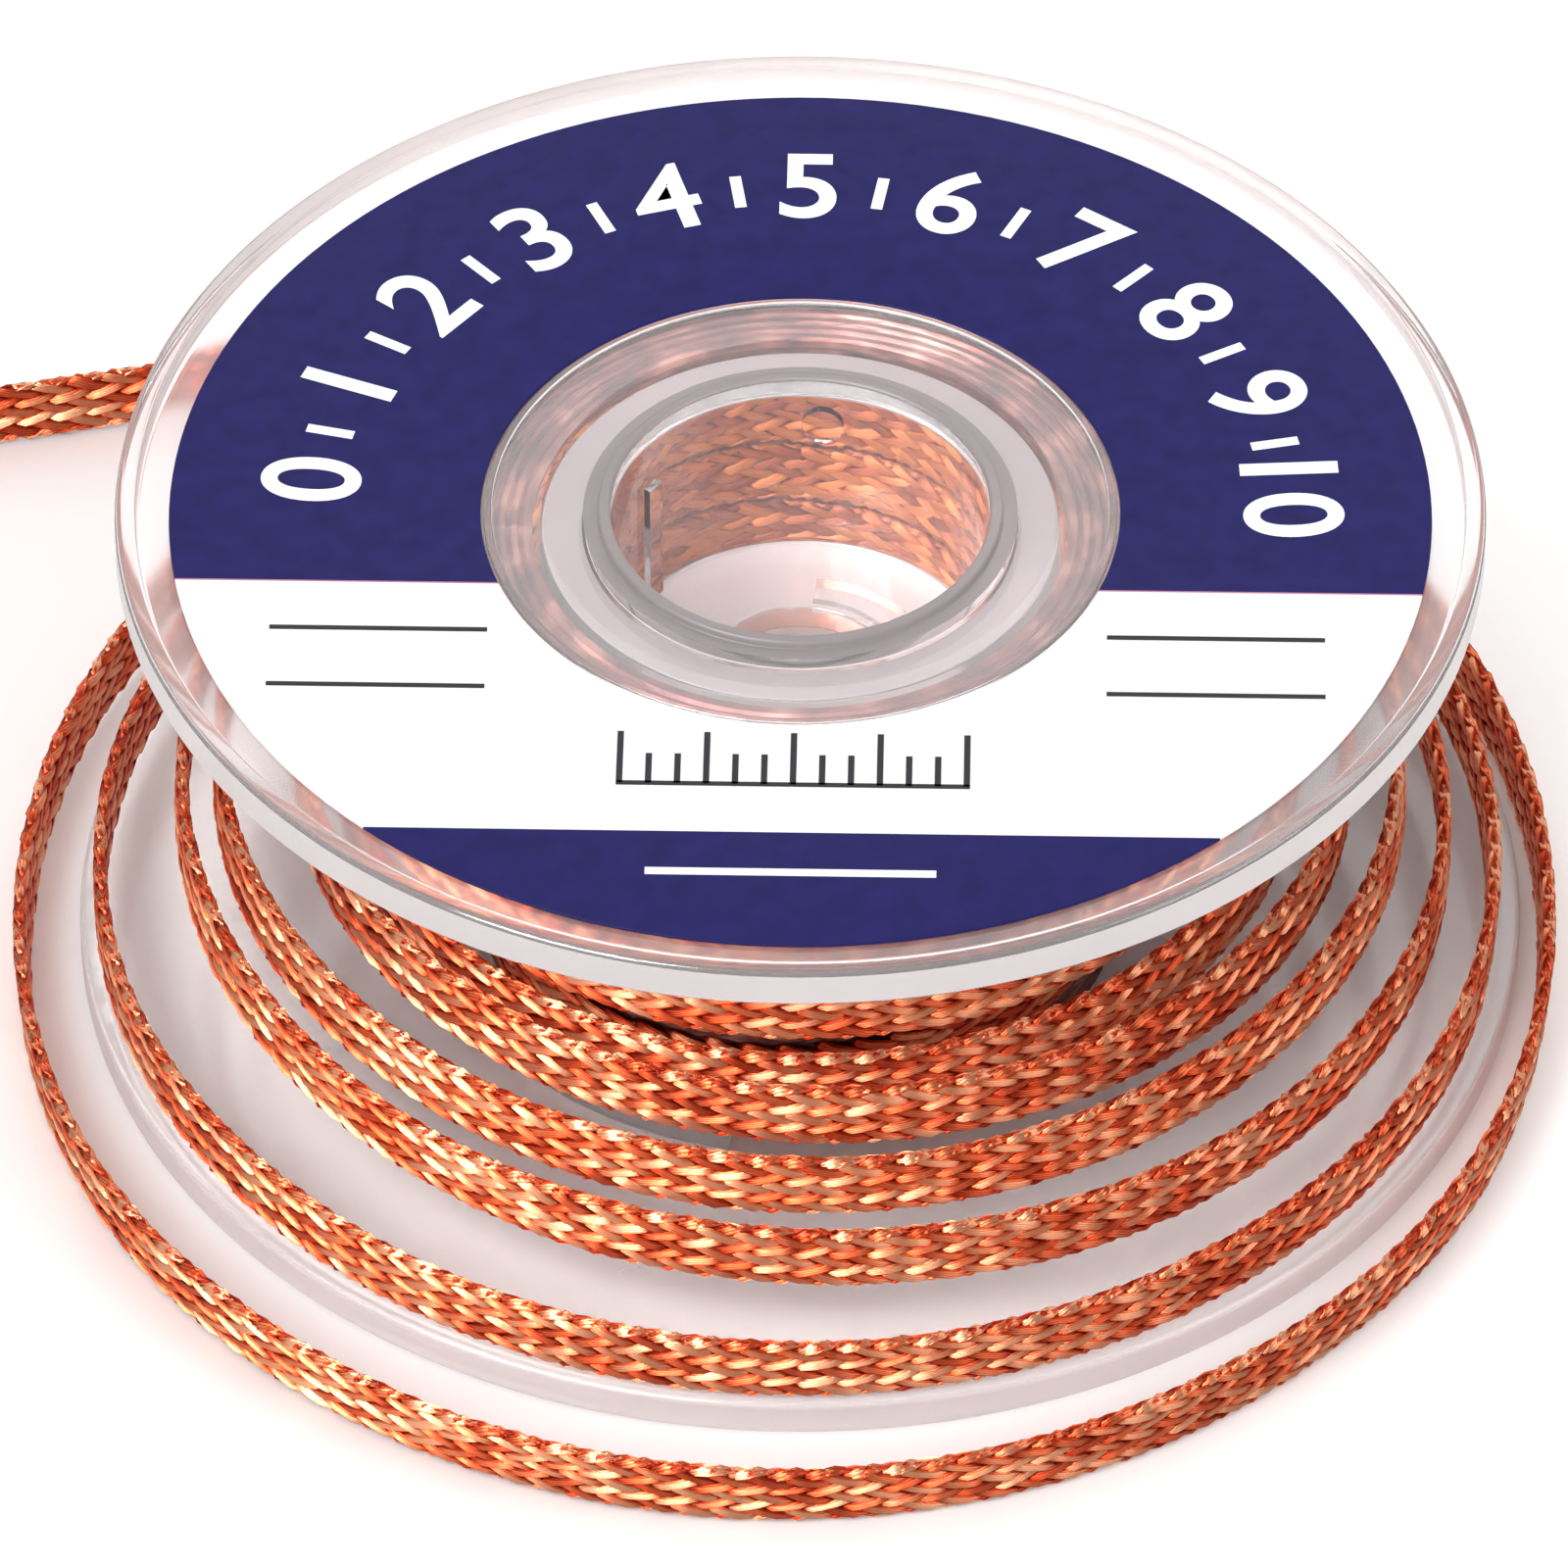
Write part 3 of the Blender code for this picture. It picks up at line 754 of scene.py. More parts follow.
# %% Roll the sheet up
def rolled_up(group, sheet, path, section, girth):
    """Moves the points of a flat sheet onto a sleeve round the path."""
    flat = add_node(group, "ShaderNodeSeparateXYZ", add_node(group, "GeometryNodeInputPosition"))
    on_path = add_node(group, "GeometryNodeSampleCurve", path, add_node(group, "GeometryNodeInputCurveTilt"),
                       flat.outputs["X"], mode="LENGTH", data_type="FLOAT")
    wrapped = calc(group, "FLOORED_MODULO", flat.outputs["Y"], girth)
    on_section = add_node(group, "GeometryNodeSampleCurve", section, None, wrapped, mode="LENGTH")

    forward = on_path.outputs["Tangent"]
    sideways = vector_calc(group, "NORMALIZE", vector_calc(group, "CROSS_PRODUCT", forward, (0.0, 0.0, 1.0)))
    upward = vector_calc(group, "CROSS_PRODUCT", sideways, forward)
    tilt = shown(on_path.outputs)[0]
    cosine = calc(group, "COSINE", tilt)
    sine = calc(group, "SINE", tilt)
    leaning_side = vector_calc(group, "ADD", scaled(group, sideways, cosine), scaled(group, upward, sine))
    leaning_up = vector_calc(group, "SUBTRACT", scaled(group, upward, cosine), scaled(group, sideways, sine))

    place = add_node(group, "ShaderNodeSeparateXYZ", on_section.outputs["Position"])
    heading = add_node(group, "ShaderNodeSeparateXYZ", on_section.outputs["Tangent"])
    on_skin = vector_calc(group, "ADD", scaled(group, leaning_side, place.outputs["X"]),
                          scaled(group, leaning_up, place.outputs["Y"]))
    outward = vector_calc(group, "SUBTRACT", scaled(group, leaning_side, heading.outputs["Y"]),
                          scaled(group, leaning_up, heading.outputs["X"]))
    lifted = vector_calc(group, "ADD", on_skin, scaled(group, outward, flat.outputs["Z"]))
    moved = add_node(group, "GeometryNodeSetPosition", sheet)
    connect(group, vector_calc(group, "ADD", on_path.outputs["Position"], lifted), moved.inputs["Position"])
    return moved


# %% The weave tree
SECTION_STEPS = 6
NEARLY_HALF = 0.499


def weave_tree():
    """The node group that covers a path with a woven sleeve of floats."""
    group, given, result = new_group("woven sleeve", "GeometryNodeTree", [
        ("Geometry", "NodeSocketGeometry", None),
        ("Path", "NodeSocketObject", None),
        ("Float", "NodeSocketObject", None),
        ("Width", "NodeSocketFloat", BRAID_WIDTH),
        ("Thickness", "NodeSocketFloat", BRAID_THICKNESS),
        ("Carriers", "NodeSocketFloat", float(CARRIERS)),
        ("Repeat", "NodeSocketFloat", REPEAT),
        ("Start", "NodeSocketFloat", 0.0),
        ("Length", "NodeSocketFloat", 0.1),
        ("First row", "NodeSocketFloat", 0.0),
        ("Rows", "NodeSocketFloat", CARRIERS / 4),
        ("Seed", "NodeSocketInt", 0),
        ("Material", "NodeSocketMaterial", None),
    ], [("Geometry", "NodeSocketGeometry", None)])
    give = given.outputs

    path = add_node(group, "GeometryNodeObjectInfo", give["Path"]).outputs["Geometry"]
    outline = add_node(group, "GeometryNodeCurvePrimitiveQuadrilateral", give["Thickness"], give["Width"])
    corner = calc(group, "MULTIPLY", give["Thickness"], NEARLY_HALF)
    section = add_node(group, "GeometryNodeFilletCurve", outline, SECTION_STEPS, corner, mode="POLY")
    girth = add_node(group, "GeometryNodeCurveLength", section)

    sheet = float_sheet(group, give, calc(group, "DIVIDE", girth, give["Carriers"]))
    sleeve = rolled_up(group, sheet, path, section, girth)
    finished = add_node(group, "GeometryNodeSetMaterial", sleeve)
    connect(group, give["Material"], finished.inputs["Material"])
    connect(group, finished, result.inputs["Geometry"])
    return group


woven_sleeve = weave_tree()
print("woven sleeve:", len(woven_sleeve.nodes), "nodes")

# %% [markdown]
# A modifier's inputs are set by each socket's identifier, before the object is first evaluated. Then the
# evaluated result becomes a plain mesh, and the modifier and its helper go. The path is an ordinary curve
# that carries the lean as its tilt.


# %% Weave a sleeve along a path
def add_path(name, points, leans):
    """A curve through the points, with the lean as its tilt."""
    curve = bpy.data.curves.new(name, "CURVE")
    curve.dimensions = "3D"
    spline = curve.splines.new("POLY")
    spline.points.add(len(points) - 1)
    for target, point, lean in zip(spline.points, points, leans):
        target.co = (*point, 1.0)
        target.tilt = lean
    return new_object(name, curve)


def plain_mesh(item):
    """What an object looks like with its modifiers, as a plain mesh. The object itself goes."""
    graph = bpy.context.evaluated_depsgraph_get()
    mesh = bpy.data.meshes.new_from_object(item.evaluated_get(graph), depsgraph=graph)
    bpy.data.objects.remove(item)
    return mesh


def input_ids(tree):
    """The identifier of each of a tree's inputs, by its name."""
    return {item.name: item.identifier for item in tree.interface.items_tree
            if item.item_type == "SOCKET" and item.in_out == "INPUT"}


def weave(name, path, start, length, material, seed, **extra):
    """One woven piece along part of a path, as a plain mesh."""
    carrier = new_object(name + "_carrier", bpy.data.meshes.new(name + "_carrier"))
    modifier = carrier.modifiers.new("woven sleeve", "NODES")
    modifier.node_group = woven_sleeve
    ids = input_ids(woven_sleeve)
    settings = {"Path": path, "Float": yarn_float, "Start": start, "Length": length, "Material": material,
                "Seed": seed, "Width": BRAID_WIDTH - YARN_THICKNESS,
                "Thickness": BRAID_THICKNESS - YARN_THICKNESS}
    settings.update(extra)
    for socket_name, value in settings.items():
        modifier[ids[socket_name]] = value
    mesh = plain_mesh(carrier)
    mesh.name = name
    piece = add_piece(name, mesh)
    mesh.calc_loop_triangles()
    print(f"{name}: {len(mesh.loop_triangles)} triangles")
    return piece


# %% [markdown]
# The loose sleeve is woven in four parts. Each is a whole number of repeats long, so the lattice runs on from
# one part to the next. A hair is added to each length, or the rounding of numbers could cost the last repeat.

# %% Weave the loose braid
LOOSE_PARTS = 4
HAIR = 0.01

loose_path = add_path("loose_path", route, route_lean)
part_length = LOOSE_LENGTH / LOOSE_PARTS
for part in range(LOOSE_PARTS):
    repeats_before = round(part * part_length / REPEAT)
    repeats_after = round((part + 1) * part_length / REPEAT)
    repeats = repeats_after - repeats_before + HAIR
    weave(f"loose_weave_{part + 1}", loose_path, repeats_before * REPEAT,
                              repeats * REPEAT, yarn_copper, part)

# %% [markdown]
# It leaves the wound braid at its first point, and its far end is bare, as it was cut.

# %% [markdown]
# ## Turned shapes
# The two halves of the spool, the label and the core of the winding are all turned about the axis. A
# helper rounds the corners of an outline with short arcs and spins it. Rounding the outline first gives
# every edge of the part a true fillet that catches a line of light, at no cost in modifiers.

# %% Round an outline and spin it
FILLET_STEPS = 4
TURNED_STEPS = 160
STRAIGHT = math.radians(179)
SAME_POINT = 0.001 * MM


def rounded(outline):
    """Replaces each corner of a closed outline, given with its fillet radius, by an arc."""
    points = []
    for i, (r, z, radius) in enumerate(outline):
        corner = Vector((r, z))
        back = Vector(outline[i - 1][:2]) - corner
        ahead = Vector(outline[(i + 1) % len(outline)][:2]) - corner
        angle = back.angle(ahead)
        if radius == 0 or angle > STRAIGHT:
            points.append(corner)
            continue
        reach = radius / math.tan(angle / 2)
        inwards = (back.normalized() + ahead.normalized()).normalized()
        centre = corner + inwards * (radius / math.sin(angle / 2))
        first = corner + back.normalized() * reach - centre
        last = corner + ahead.normalized() * reach - centre
        for step in range(FILLET_STEPS + 1):
            t = step / FILLET_STEPS
            points.append(centre + first.lerp(last, t).normalized() * radius)
    return [(point.x, point.y) for point in points]


def spun(name, outline, start=0.0, sweep=math.tau, steps=TURNED_STEPS):
    """Spins a closed outline of distance and height about Z, all the way or through an arc."""
    bm = bmesh.new()
    verts = [bm.verts.new((r * math.cos(start), r * math.sin(start), z)) for r, z in outline]
    edges = [bm.edges.new((verts[i - 1], verts[i])) for i in range(len(verts))]
    bmesh.ops.spin(bm, geom=verts + edges, cent=(0, 0, 0), axis=(0, 0, 1), angle=sweep, steps=steps)
    bmesh.ops.remove_doubles(bm, verts=bm.verts, dist=SAME_POINT)
    bmesh.ops.holes_fill(bm, edges=[edge for edge in bm.edges if edge.is_boundary])
    bmesh.ops.recalc_face_normals(bm, faces=bm.faces)
    return mesh_from(bm, name)


# %% [markdown]
# ## Clear plastic
# The spool is moulded from clear plastic with a faint pink cast, a little milky and not quite optical. Five
# finishes share one recipe. The barrel and the cup's wall are clearest, the cover's top and the cup's floor
# are hazy, and the base flange is milky. The outer walls, the underside and the slot are frosted, because
# there the mould was matt. The barrel's end and the lip round the bore are greyest, as if they had been
# sanded. The gloss is uneven and the faces carry very shallow waves, as injection moulding leaves.
# Clear plastic doesn't cast a black shadow. So for shadow rays alone the shader gives way to a transparent
# one, and the light of the panels reaches the floor and the braid behind it.


# %% Five finishes of clear plastic
PLASTIC_INDEX = 1.49
PATCH_SHARE = 0.975


def plastic_material(name, color, transmission, roughness, shadow):
    """Moulded clear plastic whose roughness drifts between two values, with a light shadow."""
    material, tree, shader = new_material(name)
    cloud = uneven(tree, 240.0)
    tint = ramp(tree, cloud, (0.0, tuple(PATCH_SHARE * part for part in color)), (1.0, color))
    connect(tree, tint, shader.inputs["Base Color"])
    rough = uneven(tree, 420.0, *roughness)
    connect(tree, rough, shader.inputs["Roughness"])
    shader.inputs["Transmission Weight"].default_value = transmission
    shader.inputs["IOR"].default_value = PLASTIC_INDEX
    waves = uneven(tree, 130.0)
    bumped(tree, shader, waves, strength=0.25, distance=0.05 * MM)
    see_through = add_node(tree, "ShaderNodeBsdfTransparent", (0.99, 0.98, 0.98, 1.0))
    shadow_ray = add_node(tree, "ShaderNodeLightPath").outputs["Is Shadow Ray"]
    for_shadows = calc(tree, "MULTIPLY", shadow_ray, shadow)
    chosen = add_node(tree, "ShaderNodeMixShader", for_shadows)
    tree.links.new(shader.outputs["BSDF"], chosen.inputs[1])
    tree.links.new(see_through.outputs["BSDF"], chosen.inputs[2])
    tree.links.new(chosen.outputs["Shader"], tree.nodes["Material Output"].inputs["Surface"])
    return material


# Each row: name, colour, transmission, roughness from and to, and how much light its shadow lets through.
PLASTICS = [plastic_material(*row) for row in (
    ("clear_plastic", (0.98, 0.955, 0.965), 0.98, (0.03, 0.07), 1.0),
    ("hazy_plastic", (0.97, 0.93, 0.935), 0.88, (0.07, 0.13), 1.0),
    ("milky_plastic", (0.99, 0.97, 0.96), 0.70, (0.10, 0.18), 1.0),
    ("frosted_plastic", (0.81, 0.765, 0.765), 0.38, (0.35, 0.5), 0.8),
    ("sanded_plastic", (0.30, 0.265, 0.27), 0.30, (0.4, 0.55), 0.9))]
CLEAR, HAZY, MILKY, FROSTED, SANDED = range(len(PLASTICS))
print("plastics:", [material.name for material in PLASTICS])

# %% [markdown]
# The two halves of the spool are turned bodies with a few details that don't run all the way round. Exact
# Booleans cut those out or add them, each with a tool of its own that goes away afterwards. A face gets its
# finish from where it lies, so the faces are sorted by their distance from the axis and their height.


# %% Pieces with cut details
def arc_tool(name, inner, width, low, high, start, sweep, steps):
    """A curved block about the axis, from one distance and height to another, through an arc."""
    outline = [(inner, low), (inner + width, low), (inner + width, high), (inner, high)]
    return new_object(name, spun(name, outline, start, sweep, steps))


def carved(name, mesh, cutters, additions):
    """Subtracts and adds tools with exact Booleans, and returns the result as a plain mesh."""
    body = new_object(name + "_blank", mesh)
    for tools, operation in ((cutters, "DIFFERENCE"), (additions, "UNION")):
        for tool in tools:
            modifier = body.modifiers.new(tool.name, "BOOLEAN")
            modifier.operation = operation
            modifier.solver = "EXACT"
            modifier.object = tool
    result = plain_mesh(body)
    result.name = name
    for tool in (*cutters, *additions):
        bpy.data.objects.remove(tool)
    shade_round(result)
    return result


# %% [markdown]
# ## The spool's base
# One moulding: the larger flange, recessed underneath, and the barrel that the braid is wound on. A curved
# slot beside the barrel holds the braid's first end. A tiny raised triangle on the flange is left by the
# mould. The flange's upper edge is rounded, and that edge is what draws the bright line round the foot of
# the spool.

# %% Base
NEAR = 0.02 * MM
NEAR_EDGE = 0.05 * MM
HUB_FILLET = 0.12 * MM
ANCHOR_MIDDLE = math.radians(237)
ANCHOR_SPAN = math.radians(44)
ANCHOR_INNER = PACK_RADIUS + 0.76 * MM
ANCHOR_WIDTH = 0.9 * MM
MARK_PLACE = Vector((-5.9 * MM, -19.1 * MM, FLANGE_THICKNESS))
MARK_SIZE = 0.9 * MM
MARK_TOP_SIZE = 0.4 * MARK_SIZE
MARK_DEPTH = 0.24 * MM

base_outline = rounded([
    (BARREL_BORE, RECESS_DEPTH, SMALL_FILLET),
    (RING_RADIUS - RING_WIDTH / 2, RECESS_DEPTH, 0),
    (RING_RADIUS - RING_WIDTH / 2, RECESS_DEPTH - RING_HEIGHT, FINE_FILLET),
    (RING_RADIUS + RING_WIDTH / 2, RECESS_DEPTH - RING_HEIGHT, FINE_FILLET),
    (RING_RADIUS + RING_WIDTH / 2, RECESS_DEPTH, 0),
    (BASE_RADIUS - LIP_WIDTH, RECESS_DEPTH, INNER_FILLET),
    (BASE_RADIUS - LIP_WIDTH, 0.0, SMALL_FILLET),
    (BASE_RADIUS, 0.0, EDGE_ROUND),
    (BASE_RADIUS, FLANGE_THICKNESS, EDGE_ROUND),
    (HUB_RADIUS, FLANGE_THICKNESS, HUB_FILLET),
    (HUB_RADIUS, BARREL_TOP, SMALL_FILLET),
    (BARREL_BORE, BARREL_TOP, SMALL_FILLET),
    (BARREL_BORE, CUP_UNDERSIDE, 0),
])
anchor_slot = arc_tool("anchor_slot", ANCHOR_INNER, ANCHOR_WIDTH, -FLANGE_THICKNESS, 2 * FLANGE_THICKNESS,
                       ANCHOR_MIDDLE - ANCHOR_SPAN / 2, ANCHOR_SPAN, steps=16)
bm = bmesh.new()
bmesh.ops.create_cone(bm, cap_ends=True, segments=3, radius1=MARK_SIZE, radius2=MARK_TOP_SIZE,
                      depth=MARK_DEPTH)
bmesh.ops.translate(bm, vec=MARK_PLACE, verts=bm.verts)
mould_mark = new_object("mould_mark", mesh_from(bm, "mould_mark"))
base_mesh = carved("spool_base_clear", spun("spool_base_clear", base_outline), [anchor_slot], [mould_mark])


def base_finish(face):
    """Which plastic a face of the base has."""
    reach = math.hypot(face.center.x, face.center.y)
    level = face.center.z
    in_slot = ANCHOR_INNER - NEAR < reach < ANCHOR_INNER + ANCHOR_WIDTH + NEAR
    slot_wall = in_slot and abs(face.normal.z) < 0.5
    on_lip = reach > BASE_RADIUS - LIP_WIDTH - NEAR and level < FLANGE_THICKNESS - NEAR_EDGE
    below_cup = reach < BARREL_BORE + NEAR and level < CUP_UNDERSIDE
    underneath = reach > HUB_RADIUS and level < FLANGE_THICKNESS / 2
    if level > BARREL_TOP - NEAR:
        return SANDED
    if on_lip or below_cup or underneath or slot_wall:
        return FROSTED
    return MILKY if reach > HUB_RADIUS + HUB_FILLET else CLEAR


spool_base = add_piece("spool_base_clear", base_mesh, *PLASTICS)
for face in base_mesh.polygons:
    face.material_index = base_finish(face)
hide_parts("spool_base")
print("base:", len(base_mesh.polygons), "faces")

# %% [markdown]
# ## The spool's cover
# The other moulding: the smaller flange, recessed for the label inside a narrow lip, and a cup that plugs
# into the barrel. The cup's wall carries an upright rib and a small round pip, and its floor has three
# shallow curved pockets round the spindle hole.

# %% Cover
POCKETS = 3
POCKET_START = math.radians(38)
POCKET_SPAN = math.radians(45)
POCKET_INNER = SPINDLE_RADIUS + 0.5 * MM
POCKET_WIDTH = 1.1 * MM
POCKET_DEPTH = 0.45 * MM
RIB_ANGLE = math.radians(143)
RIB_WIDTH = 0.7 * MM
RIB_HEIGHT = 0.3 * MM
RIB_TOP = HEIGHT - 2.9 * MM
PIP_ANGLE = math.radians(83)
PIP_RADIUS = 0.75 * MM
PIP_SIDES = 32
PIP_HEIGHT = 0.3 * MM
PIP_LEVEL = HEIGHT - 2.3 * MM

cover_outline = rounded([
    (SPINDLE_RADIUS, CUP_UNDERSIDE, SMALL_FILLET),
    (SLEEVE_OUTER, CUP_UNDERSIDE, INNER_FILLET),
    (SLEEVE_OUTER, COVER_UNDERSIDE, SMALL_FILLET),
    (COVER_RADIUS, COVER_UNDERSIDE, EDGE_ROUND),
    (COVER_RADIUS, HEIGHT, EDGE_ROUND),
    (COVER_RADIUS - LIP_WIDTH, HEIGHT, RIM_FILLET),
    (COVER_RADIUS - LIP_WIDTH, COVER_FACE, RIM_FILLET),
    (RING_RADIUS + RING_WIDTH / 2, COVER_FACE, 0),
    (RING_RADIUS + RING_WIDTH / 2, COVER_FACE + RING_HEIGHT, TOP_RING_FILLET),
    (RING_RADIUS - RING_WIDTH / 2, COVER_FACE + RING_HEIGHT, TOP_RING_FILLET),
    (RING_RADIUS - RING_WIDTH / 2, COVER_FACE, 0),
    (HUB_RADIUS, COVER_FACE, 0),
    (BARREL_BORE, COVER_FACE, 0),
    (SLEEVE_BORE + BORE_LIP_WIDTH, COVER_FACE, FINE_FILLET),
    (SLEEVE_BORE + BORE_LIP_WIDTH, COVER_FACE + BORE_LIP_HEIGHT, BORE_LIP_FILLET),
    (SLEEVE_BORE, COVER_FACE + BORE_LIP_HEIGHT, BORE_LIP_FILLET),
    (SLEEVE_BORE, FLOOR_TOP, EDGE_ROUND),
    (SPINDLE_RADIUS, FLOOR_TOP, SMALL_FILLET),
])
pockets = [arc_tool(f"pocket_{index}", POCKET_INNER, POCKET_WIDTH, FLOOR_TOP - POCKET_DEPTH,
                    FLOOR_TOP + POCKET_DEPTH, POCKET_START + index * math.tau / POCKETS, POCKET_SPAN,
                    steps=10)
           for index in range(POCKETS)]


def wall_tool(name, bm, height, level, angle):
    """A tool that starts inside the cup's wall, stands out of it by a height, and is turned to its place."""
    reach = WALL_MIDDLE - SLEEVE_BORE + height
    bmesh.ops.scale(bm, vec=(reach, 1, 1), verts=bm.verts)
    bmesh.ops.translate(bm, vec=(WALL_MIDDLE - reach / 2, 0, level), verts=bm.verts)
    bmesh.ops.rotate(bm, cent=(0, 0, 0), matrix=Matrix.Rotation(angle, 3, "Z"), verts=bm.verts)
    return new_object(name, mesh_from(bm, name))


WALL_MIDDLE = (SLEEVE_BORE + SLEEVE_OUTER) / 2
RIB_FOOT = FLOOR_TOP - CUP_FLOOR / 2

bm = bmesh.new()
bmesh.ops.create_cube(bm, size=1.0)
bmesh.ops.scale(bm, vec=(1, RIB_WIDTH, RIB_TOP - RIB_FOOT), verts=bm.verts)
rib = wall_tool("rib", bm, RIB_HEIGHT, (RIB_TOP + RIB_FOOT) / 2, RIB_ANGLE)

bm = bmesh.new()
bmesh.ops.create_cone(bm, cap_ends=True, segments=PIP_SIDES, radius1=PIP_RADIUS, radius2=PIP_RADIUS,
                      depth=1.0)
bmesh.ops.rotate(bm, cent=(0, 0, 0), matrix=Matrix.Rotation(math.pi / 2, 3, "Y"), verts=bm.verts)
pip = wall_tool("pip", bm, PIP_HEIGHT, PIP_LEVEL, PIP_ANGLE)

cover_mesh = carved("spool_cover_clear", spun("spool_cover_clear", cover_outline), pockets, [rib, pip])


def cover_finish(face):
    """Which plastic a face of the cover has."""
    reach = math.hypot(face.center.x, face.center.y)
    on_top = face.center.z > COVER_FACE - NEAR
    if on_top and reach < BARREL_BORE:
        return SANDED
    if face.center.z < FLOOR_TOP + NEAR:
        return HAZY
    if reach > COVER_RADIUS - NEAR_EDGE and abs(face.normal.z) < 0.5:
        return FROSTED
    return HAZY if on_top and reach > HUB_RADIUS else CLEAR


spool_cover = add_piece("spool_cover_clear", cover_mesh, *PLASTICS)
for face in cover_mesh.polygons:
    face.material_index = cover_finish(face)
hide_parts("spool_cover")
print("cover:", len(cover_mesh.polygons), "faces")

# %% [markdown]
# ## The label
# A ring of coated paper, printed deep blue with a white band across its front part. The two fields are
# straight cuts across the ring, so the shader only asks how far towards the back a point lies. The label was
# stuck on about a degree out of square, and its print turns with it. The print has a hair of magenta along
# the upper cut, where two inks don't quite meet, and a fine paper grain.

# %% Label
BAND_BACK = -4.05 * MM
BAND_FRONT = -16.6 * MM
INK_FRINGE = 0.07 * MM
FRINGE_STRENGTH = 0.8
LABEL_CLEARANCE = 0.1 * MM
LABEL_EDGE = 0.03 * MM
LABEL_HOLE = RING_RADIUS + RING_WIDTH / 2 + LABEL_CLEARANCE
PRINT_TURN = Matrix.Rotation(math.radians(-1.1), 4, "Z")
BACKWARDS = PRINT_TURN @ Vector((0, 1, 0))

label_material, tree, shader = new_material("printed_paper")
place = add_node(tree, "ShaderNodeTexCoord")
towards_back = vector_calc(tree, "DOT_PRODUCT", place.outputs["Object"], BACKWARDS).outputs["Value"]
blue_noise = uneven(tree, 900.0)
blue = ramp(tree, blue_noise, (0.0, (0.008, 0.007, 0.076)), (1.0, (0.012, 0.010, 0.100)))
white_noise = uneven(tree, 500.0)
white = ramp(tree, white_noise, (0.0, (0.74, 0.74, 0.755)), (1.0, (0.78, 0.78, 0.795)))
behind = calc(tree, "GREATER_THAN", towards_back, BAND_BACK)
before = calc(tree, "LESS_THAN", towards_back, BAND_FRONT)
fringe = calc(tree, "COMPARE", towards_back, BAND_BACK - INK_FRINGE / 2, INK_FRINGE / 2)
fields = mixed_color(tree, calc(tree, "ADD", behind, before), white, blue)
magenta = (0.35, 0.03, 0.18, 1.0)
fringed = mixed_color(tree, calc(tree, "MULTIPLY", fringe, FRINGE_STRENGTH), fields, magenta)
connect(tree, fringed, shader.inputs["Base Color"])
connect(tree, uneven(tree, 1400.0, 0.42, 0.52), shader.inputs["Roughness"])
shader.inputs["Specular IOR Level"].default_value = 0.12
grain = uneven(tree, 2500.0)
bumped(tree, shader, grain, strength=0.15, distance=0.01 * MM)

label_outline = rounded([(LABEL_HOLE, label_low.z, 0), (LABEL_RADIUS, label_low.z, 0),
                         (LABEL_RADIUS, label_high.z, LABEL_EDGE), (LABEL_HOLE, label_high.z, LABEL_EDGE)])
label_mesh = spun("label_print", label_outline)
shade_round(label_mesh)
label = add_piece("label_print", label_mesh, label_material)
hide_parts("printed_label")

# %% [markdown]
# The words on such a label belong to whoever sells it, so this one carries a plain dial: numerals and ticks
# round the blue field, and blank ruled lines in the white band. Numerals start as text objects, because
# Blender's built-in font gives clean outlines, and become meshes that lie a hair above the paper.

# %% Ink and text helpers
INK_LIFT = 0.004 * MM
INK_THICKNESS = 0.008 * MM
INK_PATCH_SHARE = 0.93
NUMERAL_WEIGHT = 0.014


def ink_material(name, color):
    material, tree, shader = new_material(name)
    cloud = uneven(tree, 1100.0)
    patchy = ramp(tree, cloud, (0.0, tuple(INK_PATCH_SHARE * part for part in color)), (1.0, color))
    connect(tree, patchy, shader.inputs["Base Color"])
    rough = uneven(tree, 1500.0, 0.42, 0.52)
    connect(tree, rough, shader.inputs["Roughness"])
    shader.inputs["Specular IOR Level"].default_value = 0.12
    return material


white_ink = ink_material("white_ink", (0.86, 0.86, 0.87))
black_ink = ink_material("black_ink", (0.03, 0.03, 0.035))


def numeral_mesh(text, size, place, turn):
    """A bold numeral lying on the label, its middle at the place, turned about Z."""
    curve = bpy.data.curves.new("numeral", "FONT")
    curve.body = text
    curve.size = size
    curve.align_x = "CENTER"
    curve.align_y = "CENTER"
    curve.offset = NUMERAL_WEIGHT * size
    curve.extrude = INK_THICKNESS / 2
    mesh = plain_mesh(new_object("numeral", curve))
    mesh.transform(Matrix.Translation(place) @ Matrix.Rotation(turn, 4, "Z"))
    return mesh


def bar_mesh(length, width, place, turn):
    """A straight printed bar: long along x before it is turned about Z."""
    bm = bmesh.new()
    bmesh.ops.create_cube(bm, size=1.0)
    bmesh.ops.scale(bm, vec=(length, width, INK_THICKNESS), verts=bm.verts)
    mesh = mesh_from(bm, "bar")
    mesh.transform(Matrix.Translation(place) @ Matrix.Rotation(turn, 4, "Z"))
    return mesh


def joined(name, meshes):
    """All the marks as one mesh, turned with the label."""
    bm = bmesh.new()
    for mesh in meshes:
        bm.from_mesh(mesh)
        bpy.data.meshes.remove(mesh)
    bmesh.ops.recalc_face_normals(bm, faces=bm.faces)
    whole = mesh_from(bm, name)
    whole.transform(PRINT_TURN)
    return whole


# %% Dial on the blue field
DIAL_STEPS = 10
DIAL_START = math.radians(176)
DIAL_END = math.radians(4)
DIAL_RADIUS = 17.1 * MM
NUMERAL_SIZE = 4.9 * MM
TICK_LENGTH = 1.7 * MM
TICK_WIDTH = 0.42 * MM
BAR_LENGTH = 10 * MM
BAR_WIDTH = 0.35 * MM
BAR_Y = -18.6 * MM
PRINT_LEVEL = label_high.z + INK_LIFT + INK_THICKNESS / 2


